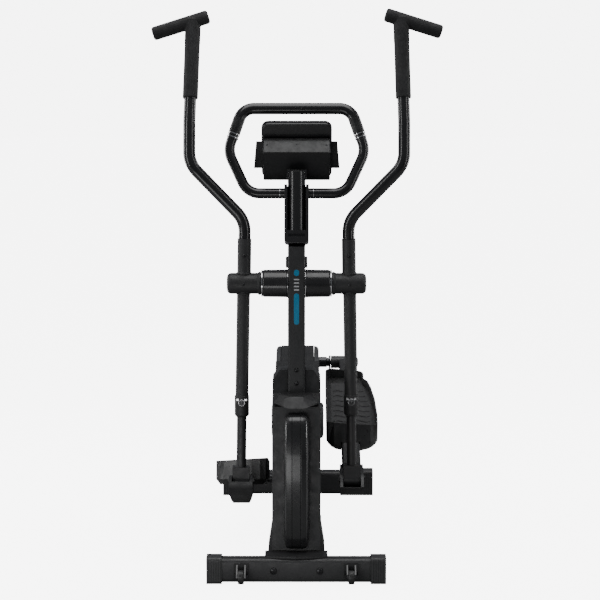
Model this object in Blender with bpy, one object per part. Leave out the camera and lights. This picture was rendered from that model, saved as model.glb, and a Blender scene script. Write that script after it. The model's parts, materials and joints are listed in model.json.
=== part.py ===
"""Rear-drive elliptical trainer: crank discs at the back, a flywheel under the mast, two swinging handlebars.

Metres, +Z up. The user stands at +Y and looks along -Y, so the user's left is +X. The origin lies on the
floor, midway between the frontmost and the rearmost point.
"""

import math

import bmesh
import bpy
from mathutils import Matrix, Vector

GAP = 0.0003  # between pieces that touch

# Lengths along the machine are measured back from the middle of the front stabiliser, then moved by MIDDLE.
WHEEL_REACH = 0.071
BASE_LENGTH = 1.130
CAP_DEPTH = 0.062
MIDDLE = (BASE_LENGTH + CAP_DEPTH / 2 - WHEEL_REACH) / 2

STABILISER_WIDTH = 0.510
CAP_WIDTH = 0.044
FRONT_CAP_HEIGHT = 0.078
REAR_CAP_HEIGHT = 0.087
CAP_OVERHANG = 0.0040  # how far a cap stands below and above its tube
TUBE_DEPTH = 0.052

# The linkage, as (distance back, height).
PIVOT = (0.205, 0.833)
CRANK = (0.870, 0.305)
CRANK_RADIUS = 0.193
ARM_LENGTH = 0.583
BAR_LENGTH = 0.690
ARM_X = 0.1535
JOINT_X = 0.1625
BAR_X = 0.1625
SHOE_HALF = 0.0250
FORK_INNER = 0.0260
FORK_OUTER = 0.0345
COVER_RADIUS = 0.0480  # of the cover round the front joint
COVER_DROP = 0.0640
COVER_START = 180  # degrees round the joint, where the front wall begins
PEDAL_X = 0.1670
TOE_DEPTH = 0.0500  # of the rounded toe, seen from above
TOE_RIM = 0.0550
GRIP_START = 0.5335  # above the pivot

MAST_WIDTH = 0.050
MAST_DEPTH = 0.076
MAST_LEAN = math.radians(5.0)
MAST_FOOT = 0.5006
MAST_TOP = 0.942

CASE_HALF = 0.0695
CASE_WALL = 0.0035
FLANGE_HEIGHT = FRONT_CAP_HEIGHT - CAP_OVERHANG + GAP
FLYWHEEL_COVER_MIDDLE = 0.2802
FLYWHEEL_COVER_HALF = 0.1953
FLYWHEEL_COVER_WIDTH = 0.0714
DISC_RADIUS = 0.243
DISC_INNER = 0.0535
DISC_OUTER = 0.0688
HUB_CAP = 0.0845
AXLE_RADIUS = 0.0125
FLYWHEEL = (0.215, 0.285)
FLYWHEEL_RADIUS = 0.140
PULLEY_RADIUS = 0.135
SMALL_PULLEY_RADIUS = 0.018
BELT_THICKNESS = 0.003
BELT_X = (0.018, 0.038)
BRAKE_PIVOT = (0.395, 0.270)

CONSOLE_LEAN = math.radians(22.0)
CONSOLE_CENTRE = (0.322, 1.214)
FACE_WIDTH = 0.206
FACE_HEIGHT = 0.175
FACE_SHIFT = 0.0015
FACE_DEPTH = 0.026
UPPER_LEAN = math.radians(12.0)
LOOP_SEAT = Vector((0, 0.0240, 0.1560))  # where the fixed handlebar crosses the mast cover
LOOP_TOP = (0.335, 1.3340)
LOOP_TOP_X = 0.158
LOOP_SIDE_X = 0.2010
LOOP_LOW_X = 0.143

TUBE_SIDES = 10
ROUND_SIDES = 16
BIG_SIDES = 28


def back(distance):
    """World Y of a distance back from the front stabiliser's middle."""
    return distance - MIDDLE


def point(x, pair):
    return Vector((x, back(pair[0]), pair[1]))


def finish_piece(name, bm, colour, roughness, metallic=0.0, origin=(0, 0, 0), turn=0.0, smooth=35):
    """One named object with its own material. The mesh is given about the origin, turned about X."""
    bmesh.ops.recalc_face_normals(bm, faces=bm.faces)
    mesh = bpy.data.meshes.new(name)
    bm.to_mesh(mesh)
    bm.free()
    mesh.shade_smooth()
    mesh.set_sharp_from_angle(angle=math.radians(smooth))
    surface = bpy.data.materials.new(name)
    surface.use_nodes = True
    shader = surface.node_tree.nodes["Principled BSDF"]
    shader.inputs["Base Color"].default_value = (*colour, 1)
    shader.inputs["Roughness"].default_value = roughness
    shader.inputs["Metallic"].default_value = metallic
    mesh.materials.append(surface)
    piece = bpy.data.objects.new(name, mesh)
    piece.location = origin
    piece.rotation_euler.x = turn
    bpy.context.scene.collection.objects.link(piece)
    return piece


def joined(parts, operation):
    """The first bmesh joined with, or cut by, each of the others."""
    base = bmesh_object(parts[0])
    for part in parts[1:]:
        other = bmesh_object(part)
        step = base.modifiers.new("step", "BOOLEAN")
        step.operation = operation
        step.object = other
        graph = bpy.context.evaluated_depsgraph_get()
        mesh = bpy.data.meshes.new_from_object(base.evaluated_get(graph))
        base.modifiers.clear()
        old = base.data
        base.data = mesh
        bpy.data.meshes.remove(old)
        remove(other)
    result = bmesh.new()
    result.from_mesh(base.data)
    remove(base)
    bmesh.ops.remove_doubles(result, verts=result.verts, dist=0.00001)
    return result


def bmesh_object(bm):
    bmesh.ops.recalc_face_normals(bm, faces=bm.faces)
    mesh = bpy.data.meshes.new("working")
    bm.to_mesh(mesh)
    bm.free()
    holder = bpy.data.objects.new("working", mesh)
    bpy.context.scene.collection.objects.link(holder)
    return holder


def remove(holder):
    mesh = holder.data
    bpy.data.objects.remove(holder)
    bpy.data.meshes.remove(mesh)


def union(*parts):
    return joined(parts, "UNION")


def cut(*parts):
    return joined(parts, "DIFFERENCE")


def moved(bm, matrix):
    bmesh.ops.transform(bm, matrix=matrix, verts=bm.verts)
    return bm


def mirrored(bm):
    bmesh.ops.scale(bm, vec=(-1, 1, 1), verts=bm.verts)
    bmesh.ops.reverse_faces(bm, faces=bm.faces)
    return bm


def about(x, pair, turn):
    """Matrix that turns about a line along X through a point of the side view, and puts the origin there."""
    return Matrix.Translation(point(x, pair)) @ Matrix.Rotation(turn, 4, "X")


def block(low, high, bevel=0.0, segments=2):
    """A box between two corners, its edges rounded."""
    bm = bmesh.new()
    bmesh.ops.create_cube(bm, size=1.0)
    middle = (Vector(low) + Vector(high)) / 2
    size = Vector(high) - Vector(low)
    bmesh.ops.scale(bm, vec=size, verts=bm.verts)
    bmesh.ops.translate(bm, vec=middle, verts=bm.verts)
    if bevel:
        bmesh.ops.bevel(bm, geom=bm.edges[:], offset=bevel, segments=segments, affect="EDGES", profile=0.5)
    return bm


def prism(outline, low, high, axis="X", bevel=0.0, segments=2):
    """An outline pushed straight along an axis. Along X it holds (y, z), along Y (x, z), along Z (x, y)."""
    bm = bmesh.new()
    place = {
        "X": lambda a, b, c: (c, a, b),
        "Y": lambda a, b, c: (a, c, b),
        "Z": lambda a, b, c: (a, b, c),
    }[axis]
    first = [bm.verts.new(place(a, b, low)) for a, b in outline]
    second = [bm.verts.new(place(a, b, high)) for a, b in outline]
    ends = [bm.faces.new(first), bm.faces.new(second)]
    for i in range(len(outline)):
        j = (i + 1) % len(outline)
        bm.faces.new((first[i], first[j], second[j], second[i]))
    bmesh.ops.recalc_face_normals(bm, faces=bm.faces)
    if bevel:
        rims = list({edge for face in ends for edge in face.edges})
        bmesh.ops.bevel(bm, geom=rims, offset=bevel, segments=segments, affect="EDGES", profile=0.5)
    return bm


def turned(profile, centre=(0, 0, 0), axis="X", sides=ROUND_SIDES):
    """A solid of revolution from (place along the axis, radius) pairs. Both ends are closed flat."""
    bm = bmesh.new()
    rings = []
    for along, radius in profile:
        ring = []
        for i in range(sides):
            angle = 2 * math.pi * i / sides
            u = radius * math.cos(angle)
            v = radius * math.sin(angle)
            spot = {"X": (along, u, v), "Y": (u, along, v), "Z": (u, v, along)}[axis]
            ring.append(bm.verts.new(Vector(spot) + Vector(centre)))
        rings.append(ring)
    for lower, upper in zip(rings, rings[1:]):
        for i in range(sides):
            j = (i + 1) % sides
            bm.faces.new((lower[i], lower[j], upper[j], upper[i]))
    bm.faces.new(rings[0])
    bm.faces.new(rings[-1])
    return bm


def rod(x0, x1, radius, pair, sides=ROUND_SIDES, bevel=0.0):
    """A cylinder along X through a point of the side view."""
    if bevel:
        profile = [(x0, radius - bevel), (x0 + bevel, radius), (x1 - bevel, radius), (x1, radius - bevel)]
    else:
        profile = [(x0, radius), (x1, radius)]
    return turned(profile, point(0, pair), "X", sides)


def bent(corners, radii, steps=6):
    """A path through its corners, each rounded with its own radius."""
    corners = [Vector(corner) for corner in corners]
    path = [corners[0]]
    for i in range(1, len(corners) - 1):
        before = (corners[i - 1] - corners[i]).normalized()
        after = (corners[i + 1] - corners[i]).normalized()
        half = before.angle(after) / 2
        reach = radii[i - 1] / math.tan(half)
        centre = corners[i] + (before + after).normalized() * (radii[i - 1] / math.sin(half))
        start = corners[i] + before * reach - centre
        end = corners[i] + after * reach - centre
        sweep = start.angle(end)
        normal = start.cross(end).normalized()
        for step in range(steps + 1):
            path.append(centre + Matrix.Rotation(sweep * step / steps, 3, normal) @ start)
    path.append(corners[-1])
    return path


def tube(path, radius, sides=TUBE_SIDES, section=None):
    """A round bar, or one of another section, along a path, with flat ends square to it."""
    bm = bmesh.new()
    tangents = []
    for i in range(len(path)):
        ahead = path[min(i + 1, len(path) - 1)] - path[i]
        behind = path[i] - path[max(i - 1, 0)]
        tangents.append((ahead.normalized() + behind.normalized()).normalized())
    across = tangents[0].orthogonal().normalized()
    if abs(tangents[0].x) < 0.9:
        across = (Vector((1, 0, 0)) - tangents[0] * tangents[0].x).normalized()
    rings = []
    for spot, tangent in zip(path, tangents):
        across = (across - tangent * across.dot(tangent)).normalized()
        other = tangent.cross(across)
        ring = []
        for i in range(sides):
            angle = 2 * math.pi * (i + 0.5) / sides
            u = math.cos(angle)
            v = math.sin(angle)
            wide, deep = section or (radius, radius)
            ring.append(bm.verts.new(spot + across * u * wide + other * v * deep))
        rings.append(ring)
    for lower, upper in zip(rings, rings[1:]):
        for i in range(sides):
            j = (i + 1) % sides
            bm.faces.new((lower[i], lower[j], upper[j], upper[i]))
    bm.faces.new(rings[0])
    bm.faces.new(rings[-1])
    return bm


def arc(centre, radius, start, end, steps):
    """Points of an arc, angles in degrees."""
    spots = []
    for i in range(steps + 1):
        angle = math.radians(start + (end - start) * i / steps)
        spots.append((centre[0] + radius * math.cos(angle), centre[1] + radius * math.sin(angle)))
    return spots


def rounded_rectangle(width, height, radius, steps=4, centre=(0, 0)):
    spots = []
    for i, (sx, sy) in enumerate(((1, 1), (-1, 1), (-1, -1), (1, -1))):
        corner = (centre[0] + sx * (width / 2 - radius), centre[1] + sy * (height / 2 - radius))
        spots += arc(corner, radius, 90 * i, 90 * i + 90, steps)
    return spots


def inset(outline, distance):
    """The outline moved in by a distance, corner by corner. The outline runs anticlockwise."""
    spots = []
    count = len(outline)
    for i in range(count):
        a = Vector(outline[i - 1])
        b = Vector(outline[i])
        c = Vector(outline[(i + 1) % count])
        first = (b - a).normalized()
        second = (c - b).normalized()
        inward = Vector((-first.y - second.y, first.x + second.x)).normalized()
        spots.append(tuple(b + inward * distance / max(0.3, inward.dot(Vector((-first.y, first.x))))))
    return spots


def shifted(outline):
    """A side-view outline of (distance back, height) pairs as (Y, Z) pairs."""
    return [(back(a), b) for a, b in outline]


def lower_joint(pin):
    """Where an arm's lower end meets its pedal bar: the meeting of two circles, on the lower side."""
    start = Vector(PIVOT)
    line = Vector(pin) - start
    along = (line.length**2 + ARM_LENGTH**2 - BAR_LENGTH**2) / (2 * line.length)
    off = math.sqrt(ARM_LENGTH**2 - along**2)
    unit = line.normalized()
    return start + unit * along + Vector((unit.y, -unit.x)) * off * (-1 if unit.y > 0 else 1)


# ---------------------------------------------------------------- base

STEEL = (0.020, 0.021, 0.023)
PLASTIC = (0.013, 0.013, 0.015)
CHROME = (0.62, 0.62, 0.63)


def make_stabilisers():
    for end, distance, height in (("front", 0.0, FRONT_CAP_HEIGHT), ("rear", BASE_LENGTH, REAR_CAP_HEIGHT)):
        tube_height = height - 2 * CAP_OVERHANG
        outline = rounded_rectangle(TUBE_DEPTH, tube_height, 0.014, 4, (back(distance), height / 2))
        reach = STABILISER_WIDTH / 2 - CAP_WIDTH
        finish_piece(f"{end}_stabiliser", prism(outline, -reach, reach), STEEL, 0.45)
        for side, sign in (("left", 1), ("right", -1)):
            cap = end_cap(height)
            origin = (sign * (reach + GAP), back(distance), height / 2)
            if sign < 0:
                cap = mirrored(cap)
            finish_piece(f"end_cap_{end}_{side}", cap, PLASTIC, 0.6, 0.0, origin)


def end_cap(height):
    """A ribbed cap, flat underneath, about the middle of its inner face."""
    outline = rounded_rectangle(CAP_DEPTH, height, 0.010, 3)
    body = prism(outline, 0, CAP_WIDTH - GAP, bevel=0.003, segments=1)
    grooves = []
    for i in range(3):
        x = 0.009 + i * 0.011
        grooves.append(block((x, -0.1, -0.030), (x + 0.003, -CAP_DEPTH / 2 + 0.0015, 0.030)))
        grooves.append(block((x, CAP_DEPTH / 2 - 0.0015, -0.030), (x + 0.003, 0.1, 0.030)))
    return cut(body, *grooves)


def make_transport_wheels():
    radius = 0.020
    distance = -WHEEL_REACH + radius
    height = radius + 0.0080
    face = -TUBE_DEPTH / 2 - GAP
    for side, sign in (("left", 1), ("right", -1)):
        x = sign * 0.156
        plate = block((x - 0.021, back(face - 0.0035), 0.020), (x + 0.021, back(face), 0.062))
        parts = [plate]
        for cheek in (-1, 1):
            inner = x + cheek * 0.0095
            outer = x + cheek * 0.0135
            outline = [(face - 0.001, 0.020), (face - 0.001, 0.060), (distance - 0.009, height + 0.010),
                       (distance - 0.011, height), (distance - 0.006, height - 0.009)]
            parts.append(prism(shifted(outline), min(inner, outer), max(inner, outer)))
            bolt_ends = sorted((outer - cheek * 0.001, outer + cheek * 0.006))
            parts.append(rod(*bolt_ends, 0.0065, (distance, height), 6))
        parts.append(rod(x - 0.010, x + 0.010, 0.0035, (distance, height), 12))
        finish_piece(f"wheel_bracket_{side}", union(*parts), STEEL, 0.4)
        profile = [(-0.0085, 0.019), (-0.006, radius), (0.006, radius), (0.0085, 0.019)]
        wheel = cut(turned(profile), turned([(-0.02, 0.0042), (0.02, 0.0042)], sides=12))
        finish_piece(f"transport_wheel_{side}", wheel, PLASTIC, 0.5, 0.0, point(x, (distance, height)))


def make_base_frame():
    half_depth = TUBE_DEPTH / 2 + GAP
    parts = [block((-0.030, back(half_depth), 0.018), (0.030, back(BASE_LENGTH - half_depth), 0.066))]
    for x0, x1 in ((-0.0605, -0.0545), (0.0545, 0.0605)):
        parts.append(block((x0, back(0.150), 0.060), (x1, back(0.250), 0.495)))
    parts.append(block((-0.0605, back(0.130), 0.055), (0.0605, back(0.270), 0.072)))
    parts.append(block((-0.0605, back(0.140), 0.462), (0.0605, back(0.245), MAST_FOOT - 2 * GAP)))
    crank_post = shifted([(0.790, 0.060), (0.950, 0.060), (0.890, 0.300), (0.850, 0.300)])
    parts.append(prism(crank_post, -0.030, -0.006))
    parts.append(rod(-0.040, 0.012, 0.026, CRANK, 16))
    brake_post = shifted([(0.375, 0.060), (0.450, 0.060), (0.412, 0.285), (0.380, 0.285)])
    parts.append(prism(brake_post, -0.050, -0.044))
    parts.append(block((-0.0505, back(0.370), 0.050), (-0.020, back(0.455), 0.063)))
    idler = idler_centre()
    arm_x = BELT_X[1] + 0.003
    arm_end = idler[0] + 0.010
    arm = shifted([(0.235, 0.140), (arm_end, idler[1] - 0.011), (arm_end, idler[1] + 0.011), (0.235, 0.190)])
    parts.append(prism(arm, arm_x, arm_x + 0.005))
    parts.append(block((arm_x - 0.001, back(0.233), 0.138), (0.056, back(0.247), 0.192)))
    parts.append(rod(BELT_X[0] + 0.002, arm_x + 0.002, 0.0050, idler, 16))
    frame = union(*parts)
    frame = cut(frame, rod(-0.1, 0.1, AXLE_RADIUS + GAP, CRANK, 16),
                rod(-0.1, 0.1, 0.0085, FLYWHEEL, 16), rod(-0.1, 0.1, 0.0043, BRAKE_PIVOT, 12))
    finish_piece("base_frame", frame, STEEL, 0.45)


# ---------------------------------------------------------------- casing


def case_outline():
    """The casing from the side: upright front, shoulders at the mast, a round back over the crank."""
    rear = arc(CRANK, DISC_RADIUS + 0.002, -98, 118, 22)
    return [(0.046, 0.0815), (0.700, 0.0745)] + rear + [
        (0.570, 0.462), (0.430, 0.480), (0.300, 0.545), (0.252, 0.5855), (0.166, 0.5855),
        (0.150, 0.5200), (0.074, 0.4930), (0.060, 0.300)]


def make_casing():
    outline = case_outline()
    inner = inset(outline, CASE_WALL)
    mast_back = MAST_DEPTH / 2 + GAP
    for side in ("left", "right"):
        body = prism(shifted(outline), GAP / 2, CASE_HALF)
        recess = rod(DISC_INNER - 0.001, 0.12, DISC_RADIUS + 0.0040, CRANK, BIG_SIDES)
        shoulder = prism([(0.048, 0.600), (0.0484, 0.5855), (0.0700, 0.5530), (0.09, 0.55), (0.09, 0.60)],
                         back(0.0), back(0.40), "Y")
        hollow = prism(shifted(inner), -0.01, CASE_HALF - CASE_WALL)
        rim = rod(DISC_INNER - 0.001 - CASE_WALL, 0.13, DISC_RADIUS + 0.0040 + CASE_WALL, CRANK, BIG_SIDES)
        hollow = cut(hollow, rim)
        shoulder_wall = prism([(0.0440, 0.610), (0.0450, 0.5835), (0.0660, 0.5520), (0.09, 0.54),
                               (0.09, 0.61)], back(0.0), back(0.40), "Y")
        hollow = cut(hollow, shoulder_wall)
        tilt = Matrix.Rotation(-MAST_LEAN, 4, "X")
        notch = moved(block((-0.1, -0.30, -0.335), (MAST_WIDTH / 2 + 0.0006, mast_back, 0.30)),
                      Matrix.Translation(point(0, PIVOT)) @ tilt)
        axle_hole = rod(-0.2, 0.2, AXLE_RADIUS + 0.001, CRANK, 16)
        flange_line = [(GAP / 2, -0.0240), (0.0400, -0.0220), (0.0700, -0.0170), (0.0893, -0.0110),
                       (0.0893, 0.0545), (GAP / 2, 0.0545)]
        flange = prism([(x, back(distance)) for x, distance in flange_line],
                       FLANGE_HEIGHT, FLANGE_HEIGHT + 0.0045, "Z")
        skirt_low = FLANGE_HEIGHT + 0.001
        skirt = prism([(0.0, skirt_low), (0.0815, skirt_low), (0.0700, 0.150), (0.0, 0.150)],
                      back(0.052), back(0.190), "Y")
        skirt_hollow = prism([(-0.01, 0.0700), (0.0780, 0.0700), (0.0660, 0.152), (-0.01, 0.152)],
                             back(0.0555), back(0.1865), "Y")
        shell = cut(body, recess, shoulder)
        shell = union(shell, skirt, flange)
        floor_slots = [block((-0.1, back(0.125), 0.0), (0.0620, back(0.460), 0.100)),
                       block((-0.1, back(0.450), 0.0), (0.0470, back(0.960), 0.100))]
        shell = cut(shell, hollow, skirt_hollow, notch, axle_hole, *floor_slots,
                    block((-1, -2, -1), (GAP / 2, 2, 2)))
        if side == "right":
            shell = mirrored(shell)
        finish_piece(f"casing_{side}", shell, PLASTIC, 0.32)


def make_mast_collar():
    """The faceted collar under the mast's lower end."""
    lean = math.tan(MAST_LEAN)
    top_z = 0.5235
    front = PIVOT[0] - MAST_DEPTH / 2 - (PIVOT[1] - top_z) * lean
    bm = bmesh.new()
    for x, distance, z in ((0.0187, 0.0750, top_z - 0.0010), (0.0440, 0.1080, top_z), (0.0440, front, top_z),
                           (0.0225, 0.0470, 0.4930), (0.0225, 0.0800, 0.4880), (0.0640, 0.0770, 0.5030),
                           (0.0640, 0.1000, 0.4980)):
        for sign in (-1, 1):
            bm.verts.new((sign * x, back(distance), z))
    bmesh.ops.convex_hull(bm, input=bm.verts)
    collar = bm
    outline = case_outline()
    body = prism(shifted(inset(outline, -GAP)), -0.08, 0.08)
    tilt = Matrix.Rotation(-MAST_LEAN, 4, "X")
    mast_half = MAST_WIDTH / 2 + GAP
    mast = moved(block((-mast_half, -MAST_DEPTH / 2 - GAP, -0.40), (mast_half, 0.1, 0.10)),
                 Matrix.Translation(point(0, PIVOT)) @ tilt)
    finish_piece("mast_collar", cut(collar, body, mast), PLASTIC, 0.22, smooth=20)


def cover_spot(angle):
    """A point of the flywheel cover's front line: distance back and height. -90 degrees is its lower end."""
    reach = 0.072 * max(0.0, math.cos(angle)) ** 0.5
    return Vector((0.068 - reach, FLYWHEEL_COVER_MIDDLE + FLYWHEEL_COVER_HALF * math.sin(angle)))


def cover_angles():
    steps = 16
    return [math.pi * (i / steps - 0.5) for i in range(steps + 1)]


def make_flywheel_cover():
    """The raised band over the flywheel: bevelled along both sides, round-cornered from the front."""
    low = FLYWHEEL_COVER_MIDDLE - FLYWHEEL_COVER_HALF
    high = FLYWHEEL_COVER_MIDDLE + FLYWHEEL_COVER_HALF
    half = FLYWHEEL_COVER_WIDTH / 2
    front_line = [tuple(cover_spot(angle)) for angle in cover_angles()]
    ridge = prism(shifted(front_line + [(0.1, high), (0.1, low)]), -half, half)
    for sign in (-1, 1):
        wedge = [(sign * 0.0200, -0.006), (sign * 0.0290, 0.004), (sign * half, 0.028), (sign * 0.05, 0.028),
                 (sign * 0.05, -0.03), (sign * 0.0200, -0.03)]
        ridge = cut(ridge, bevel_ring(wedge))
    front_view = rounded_rectangle(FLYWHEEL_COVER_WIDTH, high - low, 0.022, 4, (0, FLYWHEEL_COVER_MIDDLE))
    ridge = joined([ridge, prism(front_view, back(-0.05), back(0.15), "Y")], "INTERSECT")
    ridge = cut(ridge, prism(shifted(inset(case_outline(), -GAP)), -0.08, 0.08))
    finish_piece("flywheel_cover", ridge, PLASTIC, 0.25)


def bevel_ring(wedge):
    """The ring cut away from the raised band's edge: a wedge section swept along its front line."""
    bm = bmesh.new()
    rings = []
    for angle in cover_angles():
        spot = cover_spot(angle)
        out = Vector((-math.cos(angle) * 0.9, math.sin(angle) * 0.6)).normalized()
        ring = []
        for x, depth in wedge:
            place = spot - out * depth
            ring.append(bm.verts.new((x, back(place.x), place.y)))
        rings.append(ring)
    count = len(wedge)
    for lower, upper in zip(rings, rings[1:]):
        for i in range(count):
            j = (i + 1) % count
            bm.faces.new((lower[i], lower[j], upper[j], upper[i]))
    bm.faces.new(rings[0])
    bm.faces.new(rings[-1])
    return bm


def make_power_inlet():
    """A round socket for the adapter, low on the casing's left side."""
    shape = turned([(GAP, 0.0095), (0.0025, 0.0095), (0.0035, 0.0085)], sides=18)
    bm = cut(shape, turned([(0.0010, 0.0040), (0.02, 0.0040)], sides=14))
    finish_piece("power_inlet", bm, PLASTIC, 0.4, 0.0, point(CASE_HALF, (0.300, 0.115)))


# ---------------------------------------------------------------- drive


def make_drive():
    for side, sign in (("left", 1), ("right", -1)):
        profile = [(DISC_INNER, DISC_RADIUS), (DISC_OUTER - 0.0115, DISC_RADIUS - 0.0007),
                   (DISC_OUTER - 0.0055, DISC_RADIUS - 0.0037), (DISC_OUTER - 0.0015, DISC_RADIUS - 0.0088),
                   (DISC_OUTER, DISC_RADIUS - 0.0150),
                   (DISC_OUTER, 0.215), (DISC_OUTER - 0.003, 0.210), (DISC_OUTER - 0.003, 0.060),
                   (DISC_OUTER + 0.012, 0.0575), (HUB_CAP - 0.002, 0.052), (HUB_CAP, 0.046)]
        disc = turned(profile, sides=BIG_SIDES)
        pad_ends = [(DISC_OUTER - 0.004, 0.030), (DISC_OUTER, 0.030)]
        pad = turned(pad_ends, (0, 0, sign * CRANK_RADIUS), sides=16)
        disc = union(disc, pad)
        pin = turned([(DISC_OUTER + GAP, 0.017), (0.094, 0.017), (0.096, 0.014), (0.101, 0.014),
                      (0.101, 0.0215), (0.1070, 0.0215), (0.1070, 0.008), (0.1912, 0.008),
                      (0.1912, 0.014), (0.1950, 0.014), (0.1970, 0.009)], sides=14)
        if sign < 0:
            disc = mirrored(disc)
            pin = mirrored(pin)
        finish_piece(f"crank_disc_{side}", disc, (0.045, 0.046, 0.049), 0.6, 0.0, point(0, CRANK))
        finish_piece(f"crank_pin_{side}", pin, STEEL, 0.35, 0.6,
                     point(0, (CRANK[0], CRANK[1] + sign * CRANK_RADIUS)))
    axle = turned([(-DISC_INNER + GAP, AXLE_RADIUS), (0.0172, AXLE_RADIUS), (0.0172, 0.016), (0.0177, 0.016),
                   (0.0177, AXLE_RADIUS), (DISC_INNER - GAP, AXLE_RADIUS)], sides=16)
    finish_piece("crank_axle", axle, CHROME, 0.3, 1.0, point(0, CRANK))
    x0, x1 = BELT_X
    rim = PULLEY_RADIUS
    pulley = turned([(x0, rim + 0.004), (x0 + 0.002, rim + 0.004), (x0 + 0.002, rim), (x1 - 0.002, rim),
                     (x1 - 0.002, rim + 0.004), (x1, rim + 0.004)], sides=BIG_SIDES)
    holes = [turned([(0, 0.022), (0.1, 0.022)], (0, 0.080 * math.cos(a), 0.080 * math.sin(a)), sides=10)
             for a in (math.pi * i / 3 for i in range(6))]
    pulley = cut(pulley, turned([(0, AXLE_RADIUS + GAP), (0.1, AXLE_RADIUS + GAP)], sides=16), *holes)
    finish_piece("drive_pulley", pulley, (0.16, 0.16, 0.17), 0.4, 0.6, point(0, CRANK))

    small = SMALL_PULLEY_RADIUS
    wheel = turned([(-0.038, 0.100), (-0.034, FLYWHEEL_RADIUS), (-0.008, FLYWHEEL_RADIUS), (-0.004, 0.100),
                    (0.004, 0.030), (x0, small + 0.004), (x0 + 0.002, small + 0.004), (x0 + 0.002, small),
                    (x1 - 0.002, small), (x1 - 0.002, small + 0.004), (x1, small + 0.004)],
                   sides=BIG_SIDES)
    wheel = cut(wheel, turned([(-0.1, 0.0083), (0.1, 0.0083)], sides=16))
    finish_piece("flywheel", wheel, (0.30, 0.30, 0.31), 0.35, 1.0, point(0, FLYWHEEL))
    axle = rod(-0.0640, 0.0640, 0.0080, FLYWHEEL, 16, 0.001)
    finish_piece("flywheel_axle", axle, CHROME, 0.3, 1.0)
    finish_piece("drive_belt", belt(), (0.02, 0.02, 0.02), 0.8)
    idler_spot = idler_centre()
    idler = cut(turned([(x0 + 0.001, 0.017), (x0 + 0.003, 0.018), (x1 - 0.003, 0.018), (x1 - 0.001, 0.017)]),
                turned([(0, 0.0055), (0.1, 0.0055)], sides=16))
    finish_piece("idler_pulley", idler, (0.25, 0.25, 0.26), 0.4, 0.8, point(0, idler_spot))

    reach = FLYWHEEL_RADIUS + 0.004
    spots = arc((0, 0), reach, -12, 62, 10) + arc((0, 0), reach + 0.016, 62, -12, 10)
    outer = [(FLYWHEEL[0] + a - BRAKE_PIVOT[0], FLYWHEEL[1] + b - BRAKE_PIVOT[1]) for a, b in spots]
    brake = union(prism(outer, -0.036, -0.010), rod_local(-0.043, -0.012, 0.011, 16),
                  prism([(-0.030, -0.030), (0.0, -0.010), (0.0, 0.010), (-0.028, 0.012)], -0.034, -0.012))
    brake = union(brake, rod_local(-0.0545, -0.0425, 0.0040, 12))
    finish_piece("brake_bracket", brake, (0.35, 0.35, 0.33), 0.45, 0.8, point(0, BRAKE_PIVOT))


def rod_local(x0, x1, radius, sides):
    return turned([(x0, radius), (x1, radius)], sides=sides)


def belt_lines():
    """Tangent angles of the belt's straight runs around the two pulleys."""
    line = Vector(CRANK) - Vector(FLYWHEEL)
    tilt = math.atan2(line.y, line.x)
    spread = math.asin((PULLEY_RADIUS - SMALL_PULLEY_RADIUS) / line.length)
    return tilt, spread


def belt():
    tilt, spread = belt_lines()
    top = math.degrees(tilt + math.pi / 2 + spread)
    bottom = math.degrees(tilt - math.pi / 2 - spread)
    loops = []
    for extra in (4 * GAP, 4 * GAP + BELT_THICKNESS):
        loop = arc(CRANK, PULLEY_RADIUS + extra, bottom, top, 22)
        loop += arc(FLYWHEEL, SMALL_PULLEY_RADIUS + extra, top, bottom + 360, 10)
        loops.append(shifted(loop))
    x0, x1 = BELT_X[0] + 0.0025, BELT_X[1] - 0.0025
    bm = bmesh.new()
    rings = [[bm.verts.new((x, a, b)) for a, b in loop] for loop in loops for x in (x0, x1)]
    count = len(rings[0])
    for i in range(count):
        j = (i + 1) % count
        for a, b in ((0, 1), (1, 3), (3, 2), (2, 0)):
            bm.faces.new((rings[a][i], rings[a][j], rings[b][j], rings[b][i]))
    return bm


def idler_centre():
    """Under the belt's lower run, touching its outer side."""
    tilt, spread = belt_lines()
    angle = tilt - math.pi / 2 - spread
    normal = Vector((math.cos(angle), math.sin(angle)))
    start = Vector(FLYWHEEL) + normal * (SMALL_PULLEY_RADIUS + BELT_THICKNESS + 5 * GAP + 0.018)
    along = Vector((-normal.y, normal.x))
    spot = start + along * 0.150
    return (spot.x, spot.y)


# ---------------------------------------------------------------- mast and console


def upper_frame():
    """Where the tilted upper assembly starts: the middle of the mast's top."""
    shift = (MAST_TOP - PIVOT[1]) * math.tan(MAST_LEAN)
    return about(0, (PIVOT[0] + shift, MAST_TOP), -UPPER_LEAN)


def make_mast():
    lean = Matrix.Translation(point(0, PIVOT)) @ Matrix.Rotation(-MAST_LEAN, 4, "X")
    outline = rounded_rectangle(MAST_WIDTH, MAST_DEPTH, 0.006, 3)
    body = moved(prism(outline, -0.40, 0.40, "Z"), lean)
    body = cut(body, block((-1, -2, MAST_TOP), (1, 2, 3)), block((-1, -2, -1), (1, 2, MAST_FOOT)))
    ears = moved(block((-0.0315, -0.012, 0.045), (0.0315, 0.012, 0.078), 0.002, 1), lean)
    body = union(body, ears)
    body = cut(body, rod(-0.1, 0.1, 0.0130, PIVOT, 16))
    finish_piece("mast", body, (0.022, 0.022, 0.024), 0.6)


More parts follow.
